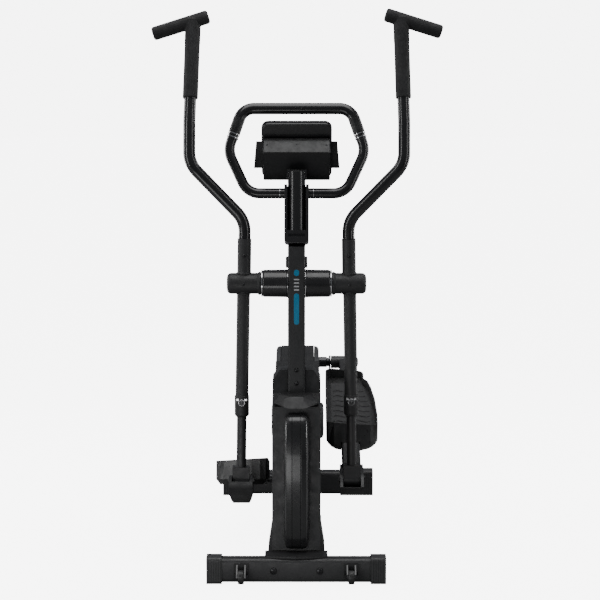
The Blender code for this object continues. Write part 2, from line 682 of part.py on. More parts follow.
def make_mast_cover():
    frame = upper_frame()
    outline = [(-0.0355, 0.174)] + arc((-0.0215, 0.0165), 0.014, 180, 270, 4)
    outline += arc((0.0215, 0.0165), 0.014, 270, 360, 4) + [(0.0355, 0.174)]
    body = prism(outline, -0.040, 0.045, "Y", 0.004, 2)
    channel = block((-0.0268, -0.080, 0.040), (0.0268, 0.0078, 0.30))
    slot = block((-0.0242, -0.080, 0.022), (0.0242, -0.034, 0.030))
    tubes = moved(tube([Vector((-0.2, 0, 0)), Vector((0.2, 0, 0))], 0.0165, TUBE_SIDES),
                  Matrix.Translation(LOOP_SEAT))
    finish_piece("mast_cover", cut(moved(cut(body, channel, slot, tubes), frame),
                                   block((-1, -2, -1), (1, 2, MAST_TOP + GAP))), PLASTIC, 0.35)


def make_console_post():
    frame = upper_frame()
    path = [Vector((0, -0.0165, 0.0405)), Vector((0, -0.0165, 0.2120))]
    post = moved(tube(path, 0.0235, 20, (0.0256, 0.0238)), frame)
    lug = moved(block((-0.0290, -0.0160, 0.196), (0.0290, -0.0060, 0.219), 0.002, 1), frame)
    post = cut(union(post, lug), moved(console_blank(0.0005), console_frame()))
    finish_piece("console_post", post, STEEL, 0.18, 0.2)


def make_pulse_handlebar():
    frame = upper_frame()
    low = frame @ LOOP_SEAT
    top = point(LOOP_TOP_X, LOOP_TOP)
    corners = [point(0, LOOP_TOP), top, loop_side(low, top), Vector((LOOP_LOW_X, low.y, low.z)), low]
    path = bent(corners, [0.045, 0.070, 0.055], 5)
    left = tube(path, 0.0152)
    right = mirrored(tube(path, 0.0152))
    spot, along = pulse_ring_spot()
    upper = [place for place in path if place.z > spot.z + 0.012] + [spot - along * 0.0082]
    upper_left = tube(upper, 0.0170)
    upper_right = mirrored(tube(upper, 0.0170))
    finish_piece("pulse_handlebar", union(left, right, upper_left, upper_right), STEEL, 0.25, 0.2)


def loop_side(low, top):
    """The fixed handlebar's widest corner, halfway up its tilted plane."""
    return Vector((LOOP_SIDE_X, (low.y + top.y) / 2, (low.z + top.z) / 2))


def pulse_ring_spot():
    """Middle of the bright rings on the handlebar's side, and the tube's direction there."""
    frame = upper_frame()
    low = frame @ LOOP_SEAT
    top = point(LOOP_TOP_X, LOOP_TOP)
    side = loop_side(low, top)
    along = (side - top).normalized()
    return top + along * 0.086, along


def make_pulse_rings():
    spot, along = pulse_ring_spot()
    for side, sign in (("left", 1), ("right", -1)):
        profile = [(-0.0075, 0.0176), (-0.0035, 0.0176), (-0.0035, 0.0166), (0.0035, 0.0166),
                   (0.0035, 0.0176), (0.0075, 0.0176)]
        bore = turned([(-0.1, 0.0155), (0.1, 0.0155)], axis="Z", sides=16)
        ring = cut(turned(profile, axis="Z", sides=16), bore)
        turn = Vector((0, 0, 1)).rotation_difference(along).to_matrix().to_4x4()
        ring = moved(ring, Matrix.Translation(spot) @ turn)
        if sign < 0:
            ring = mirrored(ring)
        finish_piece(f"pulse_ring_{side}", ring, CHROME, 0.2, 1.0)


def console_frame():
    """Turns the console's own frame into the world. Its +Y points out of the screen, its +Z up along it."""
    return about(0, CONSOLE_CENTRE, CONSOLE_LEAN)


def console_blank(margin=0.0):
    """The outer shape of the console's back, from the side: a wedge, deepest at its lower third."""
    m = margin
    outline = [(-FACE_DEPTH / 2 - 0.004, 0.046 + m), (-0.040 - m, 0.044 + m), (-0.075 - m, 0.026),
               (-0.060 - m, -0.070 - m), (-FACE_DEPTH / 2 - 0.004, -0.084 - m)]
    return prism(outline, -0.0975 - m, 0.0975 + m, "X", 0.0 if margin else 0.003, 2)


def make_console():
    frame = console_frame()
    finish_piece("console_shell", moved(console_blank(), frame), PLASTIC, 0.55)

    outline = rounded_rectangle(FACE_WIDTH, FACE_HEIGHT, 0.020, 5, (0, FACE_SHIFT))
    face = prism(outline, -FACE_DEPTH / 2, FACE_DEPTH / 2, "Y", 0.004, 2)
    window = prism(rounded_rectangle(0.158, 0.088, 0.006, 3, (0, 0.032)), FACE_DEPTH / 2 - 0.004, 0.1, "Y")
    wells = [turned([(0.004, 0.0083), (0.1, 0.0083)], (x, 0, -0.032), "Y", 12) for x in button_places()]
    face = cut(face, window, *wells)
    finish_piece("console_face", moved(face, frame), (0.008, 0.008, 0.009), 0.12)

    lens = prism(rounded_rectangle(0.158 - 4 * GAP, 0.088 - 4 * GAP, 0.006, 3, (0, 0.032)),
                 FACE_DEPTH / 2 - 0.004 + GAP, FACE_DEPTH / 2 - 0.0008, "Y")
    finish_piece("console_lens", moved(lens, frame), (0.02, 0.03, 0.035), 0.05)

    for number, x in enumerate(button_places(), 1):
        button = turned([(-0.0065, 0.0075), (0.0025, 0.0075), (0.0035, 0.0062)], axis="Y", sides=12)
        spot = frame @ Vector((x, FACE_DEPTH / 2, -0.032))
        finish_piece(f"console_button_{number}", button, (0.35, 0.36, 0.37), 0.4, 0.0, spot, CONSOLE_LEAN)

    y0 = -FACE_DEPTH / 2 - GAP - 0.0034
    plate_line = [(-0.126, -0.052), (-0.1185, 0.034), (0.1185, 0.034), (0.126, -0.052)]
    plate = prism(plate_line, y0, y0 + 0.0034, "Y")
    stem = block((-0.070, y0, -0.0900), (0.070, y0 + 0.0034, -0.050))
    ledge = block((-0.070, y0, -0.0900), (0.070, 0.044, -0.0863))
    lip = block((-0.070, 0.0405, -0.0900), (0.070, 0.0440, -0.062))
    finish_piece("tablet_holder", moved(union(plate, stem, ledge, lip), frame), PLASTIC, 0.5)


def button_places():
    return [-0.060 + 0.040 * i for i in range(4)]


# ---------------------------------------------------------------- cross axle and arms


def make_cross_axle():
    finish_piece("cross_axle", rod(-0.1900, 0.1900, 0.0125, PIVOT, 24, 0.001), CHROME, 0.3, 1.0)
    inner = MAST_WIDTH / 2 + GAP
    for side, sign in (("left", 1), ("right", -1)):
        cover = turned([(inner, 0.0400), (inner + 0.004, 0.0412), (0.094, 0.0395), (0.0975, 0.0370)],
                       point(0, PIVOT))
        cover = cut(cover, rod(0, 0.2, 0.0130, PIVOT, 16))
        ring_line = [(0.0980, 0.0375), (0.0985, 0.0385), (0.1015, 0.0385), (0.1020, 0.0375)]
        ring = turned(ring_line, point(0, PIVOT))
        ring = cut(ring, rod(0, 0.2, 0.0130, PIVOT, 16))
        if sign < 0:
            cover = mirrored(cover)
            ring = mirrored(ring)
        finish_piece(f"axle_cover_{side}", cover, PLASTIC, 0.3)
        finish_piece(f"axle_ring_{side}", ring, CHROME, 0.15, 1.0)


def arm_angle(joint):
    return math.asin((joint[0] - PIVOT[0]) / ARM_LENGTH)


def swing_arm():
    """Hub, upper socket and lower tube in one welding, about the pivot, for the left side."""
    hub = turned([(0.1025, 0.0325), (0.1060, 0.0340), (0.1140, 0.0305), (0.1900, 0.0305), (0.1950, 0.0290),
                  (0.2000, 0.0250), (0.2020, 0.0180)])
    socket = tube([Vector((ARM_X - 0.001, 0, 0.0)), Vector((0.1505, 0, 0.1300))], 0.0200)
    lower = tube([Vector((ARM_X, 0, 0.0)), Vector((0.1597, 0, -0.3500))], 0.0190)
    collar_line = [(-0.3905, 0.0165), (-0.3845, 0.0212), (-0.3280, 0.0212)]
    collar = turned(collar_line, (0.1596, 0, 0), "Z", TUBE_SIDES)
    bore = rod_local(0.05, 0.1905, 0.0128, 16)
    return cut(union(hub, socket, lower, collar), bore)


def lower_arm():
    """The thin adjustable tube, with the joint barrel at its end."""
    start = Vector((0.1601, 0, -0.3911))
    shaft = tube([start, Vector((JOINT_X, 0, -ARM_LENGTH))], 0.0142)
    edge = SHOE_HALF - 0.0020
    barrel = turned([(JOINT_X - SHOE_HALF, 0.0200), (JOINT_X - edge, 0.0220), (JOINT_X + edge, 0.0220),
                     (JOINT_X + SHOE_HALF, 0.0200)], (0, 0, -ARM_LENGTH), sides=18)
    shoe = moved(block((-SHOE_HALF, -0.0200, -0.004), (SHOE_HALF, 0.0200, 0.0440), 0.006, 2),
                 Matrix.Translation((JOINT_X, 0, -ARM_LENGTH)))
    return union(shaft, barrel, shoe)


def handlebar_path():
    """Middle line of the handlebar about the pivot: up from the socket, out, then up and back to the grip."""
    corners = [(0.1504, 0.0, 0.1315), (0.1490, -0.001, 0.1820), (0.3080, -0.022, 0.3480),
               (0.3085, 0.006, 0.4650), (0.3010, 0.097, 0.7590)]
    return bent(corners, [0.080, 0.075, 0.300], 5)


def grip_bar_ends():
    return Vector((0.4190, 0.097, 0.7190)), Vector((0.2560, 0.097, 0.7700))


def handlebar():
    outer, inner = grip_bar_ends()
    trim = (outer - inner).normalized() * 0.012
    upright = tube(handlebar_path(), 0.0175)
    across = tube([outer - trim, inner + trim], 0.0130)
    return union(upright, across)


def grip():
    """Foam over the top of the handlebar and its cross bar."""
    outer, inner = grip_bar_ends()
    along = (outer - inner).normalized()
    top, low = handlebar_path()[-1], handlebar_path()[-2]
    begin = low.lerp(top, (GRIP_START - low.z) / (top.z - low.z))
    stem = tube([begin, top], 0.0222)
    steps = [(0.0, 0.0140), (0.0025, 0.0178), (0.007, 0.0202)]
    length = (outer - inner).length
    profile = steps + [(length - a, r) for a, r in reversed(steps)]
    bar = moved(turned(profile, axis="Z", sides=16),
                Matrix.Translation(inner) @ Vector((0, 0, 1)).rotation_difference(along).to_matrix().to_4x4())
    foam = union(bar, stem)
    trim = along * 0.0116
    core_stem = tube([begin - (top - begin).normalized() * 0.01, top], 0.0185)
    core_bar = tube([outer - trim, inner + trim], 0.0138)
    return cut(foam, core_stem, core_bar)


def clamp_bolt():
    """Bright bolt head and washer on the front of the collar."""
    height = -0.3500
    x = 0.1597
    profile = [(-0.0345, 0.0060), (-0.0330, 0.0078), (-0.0285, 0.0078), (-0.0285, 0.0105), (-0.0235, 0.0105)]
    return turned(profile, (x, 0, height), "Y", 12)


def make_arms():
    for side, sign in (("left", 1), ("right", -1)):
        pin = (CRANK[0], CRANK[1] + sign * CRANK_RADIUS)
        turn = arm_angle(lower_joint(pin))
        pieces = (("swing_arm", swing_arm(), (0.022, 0.022, 0.024), 0.5, 0.0),
                  ("lower_arm", lower_arm(), STEEL, 0.35, 0.0),
                  ("handlebar", handlebar(), STEEL, 0.2, 0.2),
                  ("grip", grip(), (0.020, 0.020, 0.021), 0.85, 0.0),
                  ("clamp_bolt", clamp_bolt(), CHROME, 0.2, 1.0))
        for name, bm, colour, roughness, metallic in pieces:
            if sign < 0:
                bm = mirrored(bm)
            finish_piece(f"{name}_{side}", bm, colour, roughness, metallic, point(0, PIVOT), turn)


# ---------------------------------------------------------------- pedal bars and pedals


def pedal_bar():
    """Flat tube from the covered fork at the arm's joint to the bushing on the crank pin, its origin."""
    half = 0.0280
    start = -BAR_LENGTH + 0.052
    bar = prism(rounded_rectangle(2 * half, 0.036, 0.008, 3, (BAR_X, 0)), start, -0.012, "Y")
    root = block((BAR_X - FORK_OUTER, start, -0.0176), (BAR_X + FORK_OUTER, start + 0.024, 0.0020))
    parts = [bar, root, rod_local(0.1080, 0.1890, 0.0205, 16)]
    joint = (-BAR_LENGTH, 0)
    cheek_line = [(start + 0.020, 0.0020), (-BAR_LENGTH + 0.014, 0.0175), (-BAR_LENGTH - 0.020, 0.0175)]
    cheek_line += arc(joint, COVER_RADIUS, 176, 232, 5)
    cheek_line += [(-BAR_LENGTH + 0.030, -COVER_DROP), (start + 0.022, -0.0175)]
    for sign in (-1, 1):
        sides = sorted((BAR_X + sign * FORK_INNER, BAR_X + sign * FORK_OUTER))
        ends = sorted((BAR_X + sign * (FORK_OUTER - 0.001), BAR_X + sign * (FORK_OUTER + 0.004)))
        head = turned([(ends[0], 0.010), (ends[1], 0.010)], (0, -BAR_LENGTH, 0), sides=6)
        parts += [prism(cheek_line, *sides), head]
    wall = arc(joint, COVER_RADIUS, COVER_START, 232, 5) + [(-BAR_LENGTH + 0.030, -COVER_DROP)]
    wall += [(start + 0.022, -0.0175), (start + 0.016, -0.0175)]
    wall += [(-BAR_LENGTH + 0.028, -COVER_DROP + 0.0045)]
    wall += arc(joint, COVER_RADIUS - 0.0040, 232, COVER_START, 5)
    parts.append(prism(wall, BAR_X - FORK_INNER - 0.001, BAR_X + FORK_INNER + 0.001))
    fork = union(*parts)
    for sign in (-1, 1):
        corner = [(0.0352, -0.0340), (0.0290, -0.0560), (0.0230, -0.0650), (0.0600, -0.0650),
                  (0.0600, -0.0340)]
        corner = [(BAR_X + sign * x, z) for x, z in corner]
        fork = cut(fork, prism(corner, -BAR_LENGTH - 0.06, start + 0.040, "Y"))
    return cut(fork, rod_local(0.09, 0.20, 0.0085, 16))


def pedal_outline():
    """Plan of the pedal from its toe (v = 0) to its heel: the outer side narrows towards the heel."""
    half = 0.0784
    length = 0.394
    toe = []
    steps = 8
    for i in range(steps + 1):
        angle = math.pi * (1 + i / steps)
        toe.append((half * math.cos(angle), TOE_DEPTH * (1 + math.sin(angle))))
    outer = [(half + 0.001, 0.130), (half - 0.004, 0.220), (half - 0.014, 0.290), (half - 0.024, 0.330)]
    heel = [(half - 0.036, 0.345)] + arc((half - 0.056, length - 0.020), 0.020, 0, 90, 3)
    heel += arc((-half + 0.018, length - 0.018), 0.018, 90, 180, 3)
    return toe + outer + heel


def pedal_wall(x, v):
    """Height of the pedal's rim above the bar's middle line."""
    toe = 0.0640 - 0.060 * x
    side = 0.048 if x > 0 else 0.056
    fall = min(1.0, max(0.0, v - TOE_DEPTH) / 0.085)
    return toe + (side - toe) * (3 * fall**2 - 2 * fall**3)


def leaned(v, z):
    """Distance from the toe of a point that starts at v on the shoulder, once it is as high as z."""
    if v >= TOE_RIM:
        return v
    share = min(1.0, max(0.0, z - 0.0040) / 0.0600)
    rim = TOE_RIM - 0.15 * (TOE_RIM - v)
    return v + (rim - v) * share


def pedal():
    """Tray with a tall toe wall that leans back. The bar runs in a channel under its floor, about the pin."""
    outline = pedal_outline()
    lip = inset(outline, 0.0050)
    sole = inset(outline, 0.0120)
    front = -BAR_LENGTH + 0.158
    under, shoulder, floor = -0.0120, 0.0040, 0.0260

    def ring(bm, spots, height):
        row = []
        for x, v in spots:
            z = height(x, v) if callable(height) else height
            row.append(bm.verts.new((PEDAL_X + x, front + leaned(v, z), z)))
        return row

    bm = bmesh.new()
    rings = [ring(bm, sole, under), ring(bm, outline, shoulder), ring(bm, outline, pedal_wall),
             ring(bm, lip, pedal_wall), ring(bm, inset(outline, 0.0065), floor)]
    for lower, upper in zip(rings, rings[1:]):
        for i in range(len(outline)):
            j = (i + 1) % len(outline)
            bm.faces.new((lower[i], lower[j], upper[j], upper[i]))
    bm.faces.new(rings[0])
    bm.faces.new(rings[-1])
    bmesh.ops.triangulate(bm, faces=bm.faces)
    channel = block((BAR_X - 0.0284, front - 0.05, -0.05), (BAR_X + 0.0284, front + 0.5, 0.0184))
    side_hollow = block((PEDAL_X - 0.068, front + 0.045, -0.05), (BAR_X - 0.034, front + 0.330, 0.0205))
    other_hollow = block((BAR_X + 0.034, front + 0.030, -0.05), (PEDAL_X + 0.052, front + 0.290, 0.0205))
    return cut(bm, channel, side_hollow, other_hollow)


def make_pedals():
    for side, sign in (("left", 1), ("right", -1)):
        pin = (CRANK[0], CRANK[1] + sign * CRANK_RADIUS)
        rise = Vector(pin) - lower_joint(pin)
        turn = math.atan2(rise.y, rise.x)
        for name, bm, colour, roughness in (("pedal_bar", pedal_bar(), STEEL, 0.4),
                                            ("pedal", pedal(), (0.016, 0.016, 0.017), 0.5)):
            if sign < 0:
                bm = mirrored(bm)
            finish_piece(f"{name}_{side}", bm, colour, roughness, 0.0, point(0, pin), turn)


def build():
    for thing in list(bpy.data.objects):
        bpy.data.objects.remove(thing)
    make_stabilisers()
    make_transport_wheels()
    make_base_frame()
    make_casing()
    make_mast_collar()
    make_flywheel_cover()
    make_power_inlet()
    make_drive()
    make_mast()
    make_mast_cover()
    make_console_post()
    make_pulse_handlebar()
    make_pulse_rings()
    make_console()
    make_cross_axle()
    make_arms()
    make_pedals()


build()
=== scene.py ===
import json
import math

import bmesh
import bpy
from mathutils import Matrix, Vector

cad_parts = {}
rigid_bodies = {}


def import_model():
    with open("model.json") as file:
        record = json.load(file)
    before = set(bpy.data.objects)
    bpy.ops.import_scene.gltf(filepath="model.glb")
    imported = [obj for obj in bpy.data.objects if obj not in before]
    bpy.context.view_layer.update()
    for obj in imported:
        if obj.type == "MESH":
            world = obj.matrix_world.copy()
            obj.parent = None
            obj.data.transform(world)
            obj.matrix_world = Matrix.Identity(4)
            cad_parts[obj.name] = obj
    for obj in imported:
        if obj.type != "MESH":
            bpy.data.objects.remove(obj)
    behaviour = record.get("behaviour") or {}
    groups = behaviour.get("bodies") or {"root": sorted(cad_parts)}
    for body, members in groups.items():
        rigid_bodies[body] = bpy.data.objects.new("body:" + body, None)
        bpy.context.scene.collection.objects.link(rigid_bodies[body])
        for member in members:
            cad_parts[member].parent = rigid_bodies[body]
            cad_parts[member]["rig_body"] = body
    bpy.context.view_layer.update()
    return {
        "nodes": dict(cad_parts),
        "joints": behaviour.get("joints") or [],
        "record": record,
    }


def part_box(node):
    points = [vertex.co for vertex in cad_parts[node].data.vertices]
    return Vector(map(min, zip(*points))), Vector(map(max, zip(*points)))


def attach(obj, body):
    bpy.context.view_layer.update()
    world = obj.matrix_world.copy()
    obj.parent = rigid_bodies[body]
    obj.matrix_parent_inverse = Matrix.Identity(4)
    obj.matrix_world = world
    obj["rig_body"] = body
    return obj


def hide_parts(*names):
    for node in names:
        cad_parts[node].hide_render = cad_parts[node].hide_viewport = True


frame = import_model()

# Looks of an elliptical trainer. Metres, +Z up. The user's left is +X, and the machine's front is -Y.

JOINTS = {joint["name"]: joint for joint in frame["joints"]}
SLOTS = {entry["node"]: entry["material_slot"] for entry in frame["record"]["subparts"]}
SIDES = (("left", 1), ("right", -1))

PIVOT = Vector(JOINTS["arm_swing_left"]["pos_m"])
CRANK = Vector(JOINTS["crank_turn"]["pos_m"])
PINS = {side: Vector(JOINTS[f"pedal_bar_turn_{side}"]["pos_m"]) for side, sign in SIDES}
FRONT = (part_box("front_stabiliser")[0].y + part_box("front_stabiliser")[1].y) / 2

ARM_LENGTH = 0.583
BAR_LENGTH = 0.690
ARM_X = 0.1535
BAR_X = 0.1625
PEDAL_X = 0.1670
MAST_LEAN = math.radians(5.0)
MAST_DEPTH = 0.076
UPPER_LEAN = math.radians(12.0)
UPPER_START = Vector((0, PIVOT.y + 0.109 * math.tan(MAST_LEAN), PIVOT.z + 0.109))
LOOP_SEAT = Vector((0, 0.0240, 0.1560))
LOOP_TOP = Vector((0.158, FRONT + 0.335, 1.3340))
LOOP_SIDE_X = 0.2010
LOOP_LOW_X = 0.143
CONSOLE_LEAN = math.radians(22.0)
CONSOLE_CENTRE = Vector((0, FRONT + 0.322, 1.214))
DISC_RADIUS = 0.243
DISC_INNER = 0.0535
DISC_OUTER = 0.0688
HUB_CAP = 0.0845
COVER_MIDDLE = 0.2802
COVER_HALF = 0.1953
COVER_WIDTH = 0.0714
SHOE_HALF = 0.0250
# The cover's base sits on the casing's front and stops 2 mm short of the flywheel behind it.
COVER_SEAT = (FRONT + 0.0550, FRONT + 0.0730)
AXLE_BORE = 0.0130
HANDLEBAR_RADIUS = 0.0175
CLAMP_X = 0.1597
CLAMP_Z = -0.3470
WHITE_GLOW = 6.5

FINE_SIDES = 48
DISC_SIDES = 128


# ---------------------------------------------------------------- materials


def surface(name, colour, roughness, metallic=0.0, grain=0.0, grain_size=0.0006, mottle=0.25, wear=0.0,
            coat=0.0, sheen=0.0, spread=0.10, stretch=(1, 1, 1)):
    """A procedural finish: uneven tone, uneven gloss, a fine grain in the bump and paler worn edges."""
    made = bpy.data.materials.new(name)
    made.use_nodes = True
    tree = made.node_tree
    shader = tree.nodes["Principled BSDF"]
    shader.inputs["Metallic"].default_value = metallic
    shader.inputs["Coat Weight"].default_value = coat
    shader.inputs["Coat Roughness"].default_value = 0.08
    shader.inputs["Sheen Weight"].default_value = sheen
    shader.inputs["Sheen Roughness"].default_value = 0.5

    place = tree.nodes.new("ShaderNodeTexCoord")
    mapping = tree.nodes.new("ShaderNodeMapping")
    mapping.inputs["Scale"].default_value = stretch
    tree.links.new(place.outputs["Object"], mapping.inputs["Vector"])

    def noise(size, detail):
        node = tree.nodes.new("ShaderNodeTexNoise")
        node.inputs["Scale"].default_value = 1 / size
        node.inputs["Detail"].default_value = detail
        tree.links.new(mapping.outputs["Vector"], node.inputs["Vector"])
        return node

    def ramp(source, low, high, start=0.3, end=0.7):
        node = tree.nodes.new("ShaderNodeMapRange")
        node.inputs["From Min"].default_value = start
        node.inputs["From Max"].default_value = end
        node.inputs["To Min"].default_value = low
        node.inputs["To Max"].default_value = high
        tree.links.new(source, node.inputs["Value"])
        return node

    cloud = noise(0.055, 4)
    tone = tree.nodes.new("ShaderNodeMix")
    tone.data_type = "RGBA"
    tone.inputs["A"].default_value = (*[c * (1 - mottle) for c in colour], 1)
    tone.inputs["B"].default_value = (*[c * (1 + mottle) for c in colour], 1)
    tree.links.new(cloud.outputs["Fac"], tone.inputs["Factor"])
    colour_out = tone.outputs["Result"]
    if wear:
        edge = tree.nodes.new("ShaderNodeNewGeometry")
        worn = ramp(edge.outputs["Pointiness"], 0.0, wear, 0.52, 0.62)
        patch = noise(0.012, 3)
        spots = tree.nodes.new("ShaderNodeMath")
        spots.operation = "MULTIPLY"
        tree.links.new(worn.outputs["Result"], spots.inputs[0])
        tree.links.new(patch.outputs["Fac"], spots.inputs[1])
        rubbed = tree.nodes.new("ShaderNodeMix")
        rubbed.data_type = "RGBA"
        rubbed.inputs["B"].default_value = (*[c * 3.5 + 0.02 for c in colour], 1)
        tree.links.new(spots.outputs["Value"], rubbed.inputs["Factor"])
        tree.links.new(colour_out, rubbed.inputs["A"])
        colour_out = rubbed.outputs["Result"]
    tree.links.new(colour_out, shader.inputs["Base Color"])

    smear = noise(0.020, 5)
    gloss = ramp(smear.outputs["Fac"], max(0.03, roughness - spread), min(1.0, roughness + spread))
    tree.links.new(gloss.outputs["Result"], shader.inputs["Roughness"])

    if grain:
        fine_noise = noise(grain_size, 2)
        bump = tree.nodes.new("ShaderNodeBump")
        bump.inputs["Strength"].default_value = grain
        bump.inputs["Distance"].default_value = grain_size * 0.4
        tree.links.new(fine_noise.outputs["Fac"], bump.inputs["Height"])
        tree.links.new(bump.outputs["Normal"], shader.inputs["Normal"])
    return made


LOOKS = {
    "steel_black": surface("powder_coat", (0.025, 0.025, 0.026), 0.42, grain=0.35, grain_size=0.0007,
                           wear=0.25),
    "mast_black": surface("textured_coat", (0.021, 0.021, 0.022), 0.50, grain=0.55, grain_size=0.0009,
                          wear=0.2),
    "tube_gloss": surface("gloss_paint", (0.011, 0.011, 0.012), 0.27, grain=0.008, grain_size=0.006,
                          coat=0.45, spread=0.04),
    "casing": surface("moulded_case", (0.021, 0.021, 0.022), 0.40, grain=0.30, grain_size=0.0005, wear=0.15),
    "casing_gloss": surface("polished_case", (0.016, 0.016, 0.017), 0.26, grain=0.005, grain_size=0.005,
                            coat=0.3, spread=0.06),
    "disc": surface("drum_plastic", (0.040, 0.041, 0.043), 0.55, grain=0.40, grain_size=0.0006, wear=0.15),
    "pedal": surface("pedal_plastic", (0.032, 0.032, 0.032), 0.34, grain=0.20, grain_size=0.0005, wear=0.25),
    "foot_cap": surface("cap_plastic", (0.036, 0.036, 0.037), 0.50, grain=0.35, grain_size=0.0006, wear=0.3),
    "wheel": surface("wheel_nylon", (0.022, 0.022, 0.022), 0.45, grain=0.2, grain_size=0.0006, wear=0.4),
    "foam": surface("grip_foam", (0.011, 0.011, 0.012), 0.80, grain=0.9, grain_size=0.0011, sheen=0.08,
                    mottle=0.35),
    "chrome": surface("bright_plate", (0.70, 0.70, 0.71), 0.14, 1.0, grain=0.01, grain_size=0.002,
                      mottle=0.06, spread=0.06),
    "zinc": surface("zinc_plate", (0.45, 0.45, 0.46), 0.36, 1.0, grain=0.12, grain_size=0.0012, mottle=0.15,
                    stretch=(0.2, 1, 1)),
    "pulley": surface("filled_nylon", (0.08, 0.08, 0.085), 0.5, grain=0.3, grain_size=0.0005),
    "iron": surface("turned_iron", (0.28, 0.28, 0.29), 0.38, 1.0, grain=0.25, grain_size=0.0008,
                    stretch=(6, 1, 1)),
    "belt": surface("belt_rubber", (0.018, 0.018, 0.018), 0.75, grain=0.5, grain_size=0.0010),
    "console": surface("console_case", (0.008, 0.008, 0.009), 0.45, grain=0.35, grain_size=0.0005, wear=0.1),
    "console_gloss": surface("console_bezel", (0.007, 0.007, 0.008), 0.22, grain=0.02, grain_size=0.003,
                             coat=0.2, spread=0.03),
    "screen": surface("display_window", (0.020, 0.028, 0.030), 0.07, mottle=0.1, coat=0.8, spread=0.02),
    "button": surface("button_silicone", (0.30, 0.31, 0.32), 0.45, grain=0.2, grain_size=0.0005),
}
TREAD = surface("tread_rubber", (0.026, 0.026, 0.027), 0.62, grain=0.5, grain_size=0.0008, wear=0.3)
BOLT = surface("blackened_bolt", (0.05, 0.05, 0.052), 0.30, 0.9, grain=0.1, grain_size=0.0008, wear=0.5)
# The mast collar's look: a copy of the polished casing plastic, made rougher to soften its reflections and
# made darker as painted shade for the collar's dark front face.
SHADED_COLLAR = surface("collar_plastic_painted_shade", (0.008, 0.008, 0.009), 0.55, grain=0.02, grain_size=0.004, coat=0.1,
                 spread=0.08)
STRIPE_BLUE = surface("stripe_blue", (0.020, 0.19, 0.34), 0.35, mottle=0.12, coat=0.3)
STRIPE_GREY = surface("stripe_grey", (0.42, 0.43, 0.44), 0.35, mottle=0.08, coat=0.3)
SEGMENTS = surface("display_fields", (0.10, 0.13, 0.12), 0.30, mottle=0.10)


# ---------------------------------------------------------------- shapes


def skin(rings, closed=True):
    """A bmesh through rings of points, its two ends closed."""
    bm = bmesh.new()
    rows = [[bm.verts.new(spot) for spot in ring] for ring in rings]
    count = len(rows[0])
    for lower, upper in zip(rows, rows[1:]):
        for i in range(count):
            j = (i + 1) % count
            bm.faces.new((lower[i], lower[j], upper[j], upper[i]))
    if closed:
        bm.faces.new(rows[0])
        bm.faces.new(rows[-1])
    bmesh.ops.recalc_face_normals(bm, faces=bm.faces)
    return bm


def lathe(profile, centre=(0, 0, 0), axis="X", sides=FINE_SIDES):
    """A turned solid from (place along the axis, radius) pairs."""
    rings = []
    for along, radius in profile:
        ring = []
        for i in range(sides):
            u = radius * math.cos(2 * math.pi * i / sides)
            v = radius * math.sin(2 * math.pi * i / sides)
            spot = {"X": (along, u, v), "Y": (u, along, v), "Z": (u, v, along)}[axis]
            ring.append(Vector(spot) + Vector(centre))
        rings.append(ring)
    return skin(rings)


def bent(corners, radii, steps=14):
    """A path through its corners, each rounded with its own radius."""
    corners = [Vector(corner) for corner in corners]
    path = [corners[0]]
    for i in range(1, len(corners) - 1):
        before = (corners[i - 1] - corners[i]).normalized()
        after = (corners[i + 1] - corners[i]).normalized()
        half = before.angle(after) / 2
        centre = corners[i] + (before + after).normalized() * (radii[i - 1] / math.sin(half))
        reach = radii[i - 1] / math.tan(half)
        start = corners[i] + before * reach - centre
        sweep = start.angle(corners[i] + after * reach - centre)
        normal = start.cross(corners[i] + after * reach - centre).normalized()
        for step in range(steps + 1):
            path.append(centre + Matrix.Rotation(sweep * step / steps, 3, normal) @ start)
    path.append(corners[-1])
    return path


def tube(path, radius, sides=FINE_SIDES, section=None, round_end=0.0):
    """A bar along a path. round_end draws its two ends in over that length."""
    path = [Vector(spot) for spot in path]
    radii = [1.0] * len(path)
    if round_end:
        first = (path[1] - path[0]).normalized()
        last = (path[-1] - path[-2]).normalized()
        soft = [(0.0, 0.55), (0.25, 0.80), (0.6, 0.95), (1.0, 1.0)]
        starts = [path[0] + first * round_end * a for a, r in soft]
        ends = [path[-1] - last * round_end * a for a, r in reversed(soft)]
        shares = [r for a, r in soft]
        path = starts + path[1:-1] + ends
        radii = shares + [1.0] * (len(path) - 2 * len(soft)) + shares[::-1]
    wide, deep = section or (radius, radius)
    across = None
    rings = []
    for i, spot in enumerate(path):
        ahead = path[min(i + 1, len(path) - 1)] - spot
        behind = spot - path[max(i - 1, 0)]
        tangent = (ahead.normalized() + behind.normalized()).normalized()
        if across is None:
            across = Vector((1, 0, 0)) if abs(tangent.x) < 0.9 else Vector((0, 0, 1))
        across = (across - tangent * across.dot(tangent)).normalized()
        other = tangent.cross(across)
        ring = []
        for k in range(sides):
            angle = 2 * math.pi * k / sides
            ring.append(spot + (across * math.cos(angle) * wide + other * math.sin(angle) * deep) * radii[i])
        rings.append(ring)
    return skin(rings)


def prism(outline, low, high, axis="X"):
    """An outline pushed along an axis. Along X it holds (y, z), along Y (x, z), along Z (x, y)."""
    order = {"X": (2, 0, 1), "Y": (0, 2, 1), "Z": (0, 1, 2)}[axis]

    def place(*values):
        return tuple(values[k] for k in order)

    return skin([[Vector(place(a, b, c)) for a, b in outline] for c in (low, high)])


def block(low, high):
    """A box between two corners."""
    corners = [(low[0], low[1]), (high[0], low[1]), (high[0], high[1]), (low[0], high[1])]
    return prism(corners, low[2], high[2], "Z")


def arc(centre, radius, start, end, steps):
    """Points of an arc, angles in degrees."""
    spots = []
    for i in range(steps + 1):
        angle = math.radians(start + (end - start) * i / steps)
        spots.append((centre[0] + radius * math.cos(angle), centre[1] + radius * math.sin(angle)))
    return spots


